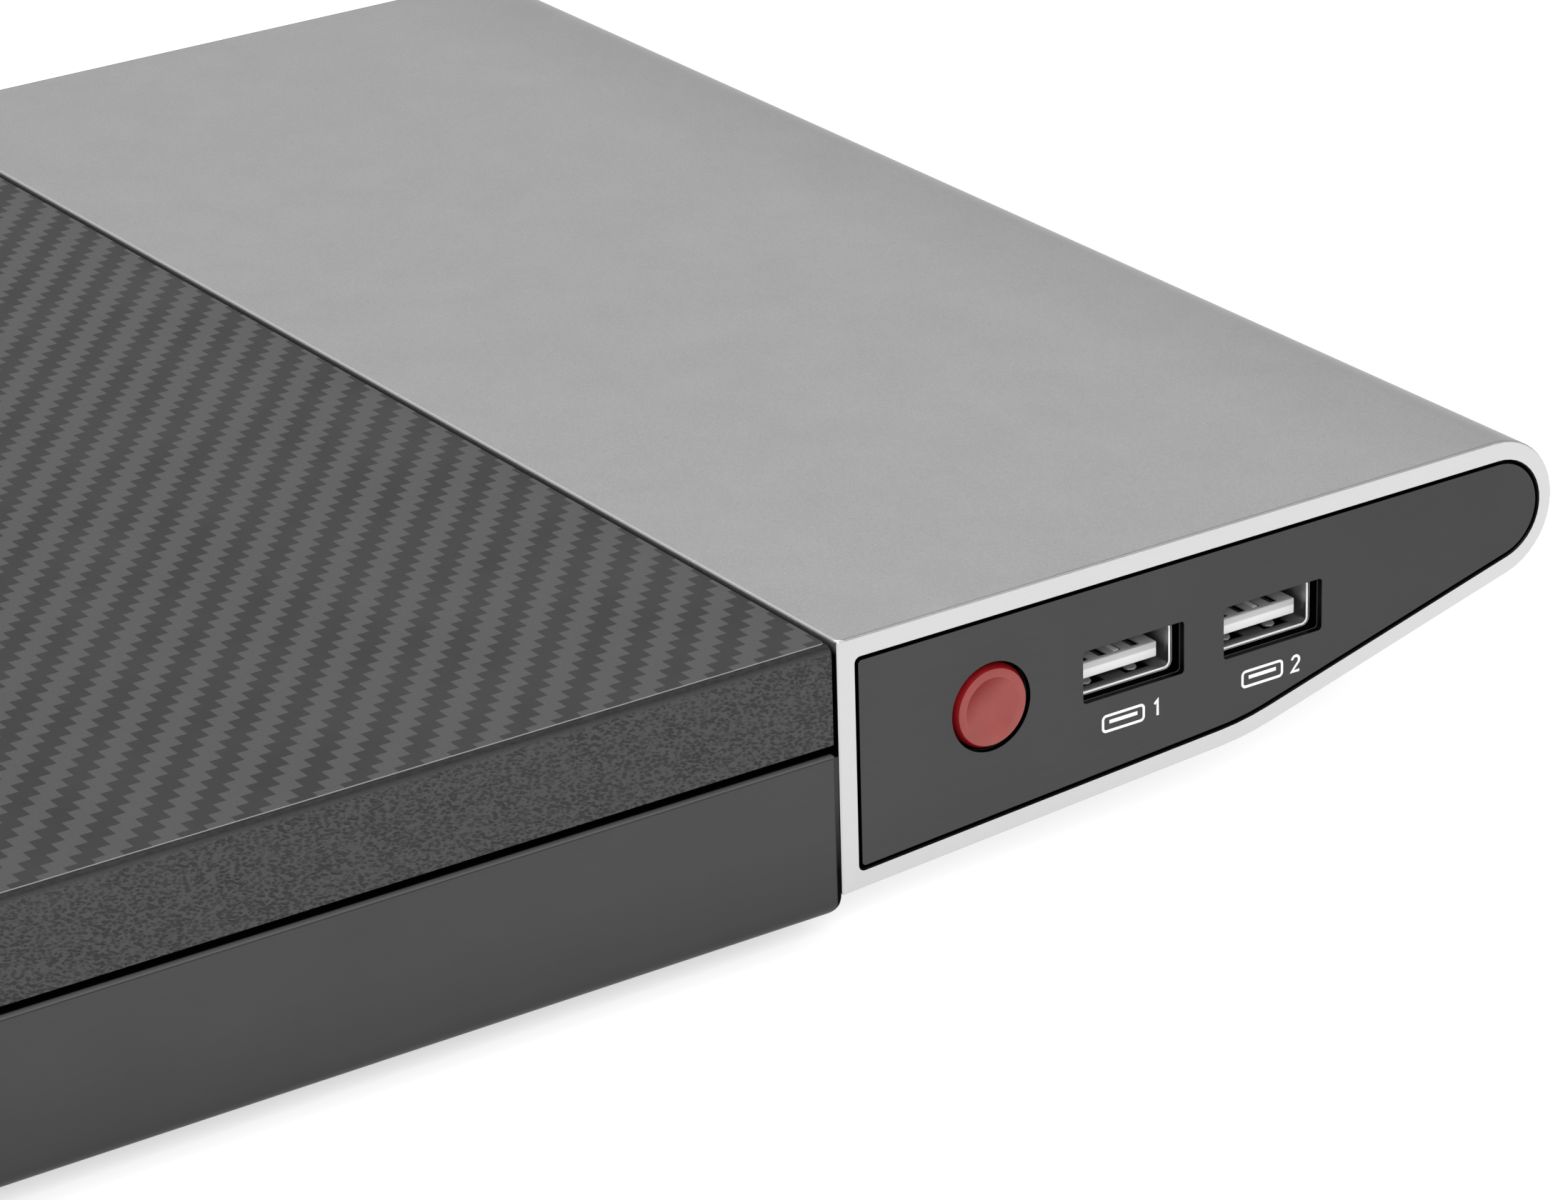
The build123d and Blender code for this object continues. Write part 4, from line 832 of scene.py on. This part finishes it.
tongue_half, tongue_round = 6.0 * MM, 0.18 * MM
tongue_low, tongue_high = port_z - 1.86 * MM, port_z + 0.26 * MM
tongue_back = shells_high.x - 0.4 * MM
slot_width = 1.25 * MM
slot_low, slot_high = port_z - 0.5 * MM, port_z + 1.0 * MM
slot_front, slot_back = face_x + tongue_front + 0.65 * MM, shells_high.x - 1.6 * MM
contact_margin, contact_round = 0.2 * MM, 0.05 * MM
contact_front, contact_back = face_x + tongue_front + 1.0 * MM, shells_high.x - 1.7 * MM
contact_low, contact_high = port_z - 0.45 * MM, port_z - 0.12 * MM
# Each contact, in mm: where its slot starts along Y from the port's middle, and the rise of its blade.
CONTACTS = ((4.22, 0.0), (1.35, 0.0), (-0.97, 0.34), (-3.77, 0.05))


def spring_loops(y, floor_z, steps=14):
    """Leaf spring from its root deep in the port to the rounded tip near the mouth."""
    loops = []
    for step in range(steps + 1):
        share = step / steps
        bow = math.sin(math.pi * min(share * 1.15, 1.0)) ** 1.5
        x = face_x + spring_root - spring_length * share
        top = floor_z + spring_bow * bow - spring_sink
        bottom = top - spring_thick
        from_tip = min((1 - share) * spring_length / (spring_width / 2), 1.0)
        half = spring_width / 2 * math.sqrt(max(1 - (1 - from_tip) ** 2, 0.02))
        left, right = y - half, y + half
        loops.append([(x, left, top), (x, right, top), (x, right, bottom), (x, left, bottom)])
    return loops


def add_shell(y):
    """One port's pressed shell, with the leaf springs that show through the windows in its floor."""
    loft(shell_mesh, [rounded_loop(face_x + depth * MM, y, port_z, half_y * MM, half_z * MM, radius * MM)
                      for depth, half_y, half_z, radius in SHELL_STEPS])
    for start in window_starts:
        low = (window_front, y + start, window_low)
        high = (window_back, y + start + window_width, window_high)
        brick(window_mesh, low, high)
        loft(spring_mesh, spring_loops(y + start + window_width / 2, shell_floor))


def add_tongue(y):
    """One port's tongue, with a slot for each of its contact blades."""
    brick(tongue_mesh, (face_x + tongue_front, y - tongue_half, tongue_low),
          (tongue_back, y + tongue_half, tongue_high), tongue_round)
    for start, rise in CONTACTS:
        slot_y = y + start * MM
        slot_end = slot_y + slot_width
        brick(slot_mesh, (slot_front, slot_y, slot_low), (slot_back, slot_end, slot_high))
        brick(contact_mesh, (contact_front, slot_y + contact_margin, contact_low),
              (contact_back, slot_end - contact_margin, contact_high + rise * MM), contact_round)


shell_mesh, window_mesh, spring_mesh = bmesh.new(), bmesh.new(), bmesh.new()
tongue_mesh, slot_mesh, contact_mesh = bmesh.new(), bmesh.new(), bmesh.new()
for port_y in port_ys:
    add_shell(port_y)
    add_tongue(port_y)

place_piece("port_shells_pressed", carved("port_shells_pressed", shell_mesh, window_mesh), "port_plating",
            stands_for=("side_port_shells",), look="port_shell")
place_piece("port_springs", finished("port_springs", spring_mesh), "steel_bright", look="port_spring")
place_piece("port_tongues_moulded", carved("port_tongues_moulded", tongue_mesh, slot_mesh),
            "white_plastic", stands_for=("side_port_tongues",), look="port_tongue")
place_piece("port_contacts_formed", finished("port_contacts_formed", contact_mesh), "steel_bright",
            stands_for=("side_port_contacts",), look="port_contact")


# ---------------------------------------------------------------- printed port marks
def direction(start, end):
    """Unit step from one flat point towards another."""
    length = math.hypot(end[0] - start[0], end[1] - start[1])
    return (end[0] - start[0]) / length, (end[1] - start[1]) / length


def ribbon(mesh, points, width, x0, x1, closed=False):
    """Flat printed stroke along (y, z) points, as a thin solid between two planes across X."""
    count = len(points)
    rings = []
    for index, (y, z) in enumerate(points):
        before = points[index - 1] if index or closed else None
        after = points[(index + 1) % count] if index < count - 1 or closed else None
        ways = [direction(a, b) for a, b in ((before, (y, z)), ((y, z), after)) if a and b]
        along = (sum(way[0] for way in ways), sum(way[1] for way in ways))
        size = math.hypot(*along)
        across = (-along[1] / size, along[0] / size)
        square = abs(across[0] * -ways[0][1] + across[1] * ways[0][0])
        reach = width / 2 / max(square, 0.5)
        left = (y + across[0] * reach, z + across[1] * reach)
        right = (y - across[0] * reach, z - across[1] * reach)
        corners = ((x0, *left), (x1, *left), (x1, *right), (x0, *right))
        rings.append([mesh.verts.new(corner) for corner in corners])
    pairs = zip(rings, rings[1:] + rings[:1]) if closed else zip(rings, rings[1:])
    for ring, after in pairs:
        for step in range(4):
            nearby = (step + 1) % 4
            mesh.faces.new((ring[step], ring[nearby], after[nearby], after[step]))
    if not closed:
        mesh.faces.new(rings[0])
        mesh.faces.new(rings[-1])


def mark_digit(number):
    """Stroke of the digit 1 or 2 as (right, up) millimetres from its middle."""
    top, foot = 1.05, -1.05
    if number == 1:
        return [(-0.5, 0.6), (0.0, top), (0.0, foot)]
    bowl_r = 0.58
    angles = [math.radians(170 - 17.5 * step) for step in range(13)]
    bowl = [(bowl_r * math.cos(angle), top - bowl_r + bowl_r * math.sin(angle)) for angle in angles]
    return bowl + [(-0.6, foot), (0.62, foot)]


stroke, bar_stroke = 0.36 * MM, 0.5 * MM
frame_half_y, frame_half_z, frame_corner = 3.2 * MM, 1.05 * MM, 0.5 * MM
bar_half = 2.2 * MM
bar_lift = 0.15 * MM
sign_offset = 1.7 * MM         # along Y, from the port's middle
digit_side = 5.4 * MM          # from the middle of the sign to the digit's
mark_z = plate_low.z + 8.6 * MM
ink = (face_x - 0.03 * MM, face_x + 0.01 * MM)
mark_mesh = bmesh.new()
for number, port_y in enumerate(port_ys, 1):
    sign_y = port_y + sign_offset
    digit_y = sign_y - digit_side
    loop = rounded_loop(0, sign_y, mark_z, frame_half_y, frame_half_z, frame_corner)
    bar = [(sign_y + side * bar_half, mark_z + bar_lift) for side in (1, -1)]
    digit = [(digit_y - right * MM, mark_z + up * MM) for right, up in mark_digit(number)]
    ribbon(mark_mesh, [(y, z) for _, y, z in loop], stroke, *ink, closed=True)
    ribbon(mark_mesh, bar, bar_stroke, *ink)
    ribbon(mark_mesh, digit, stroke, *ink)
place_piece("port_marks", finished("port_marks", mark_mesh), "white_plastic")
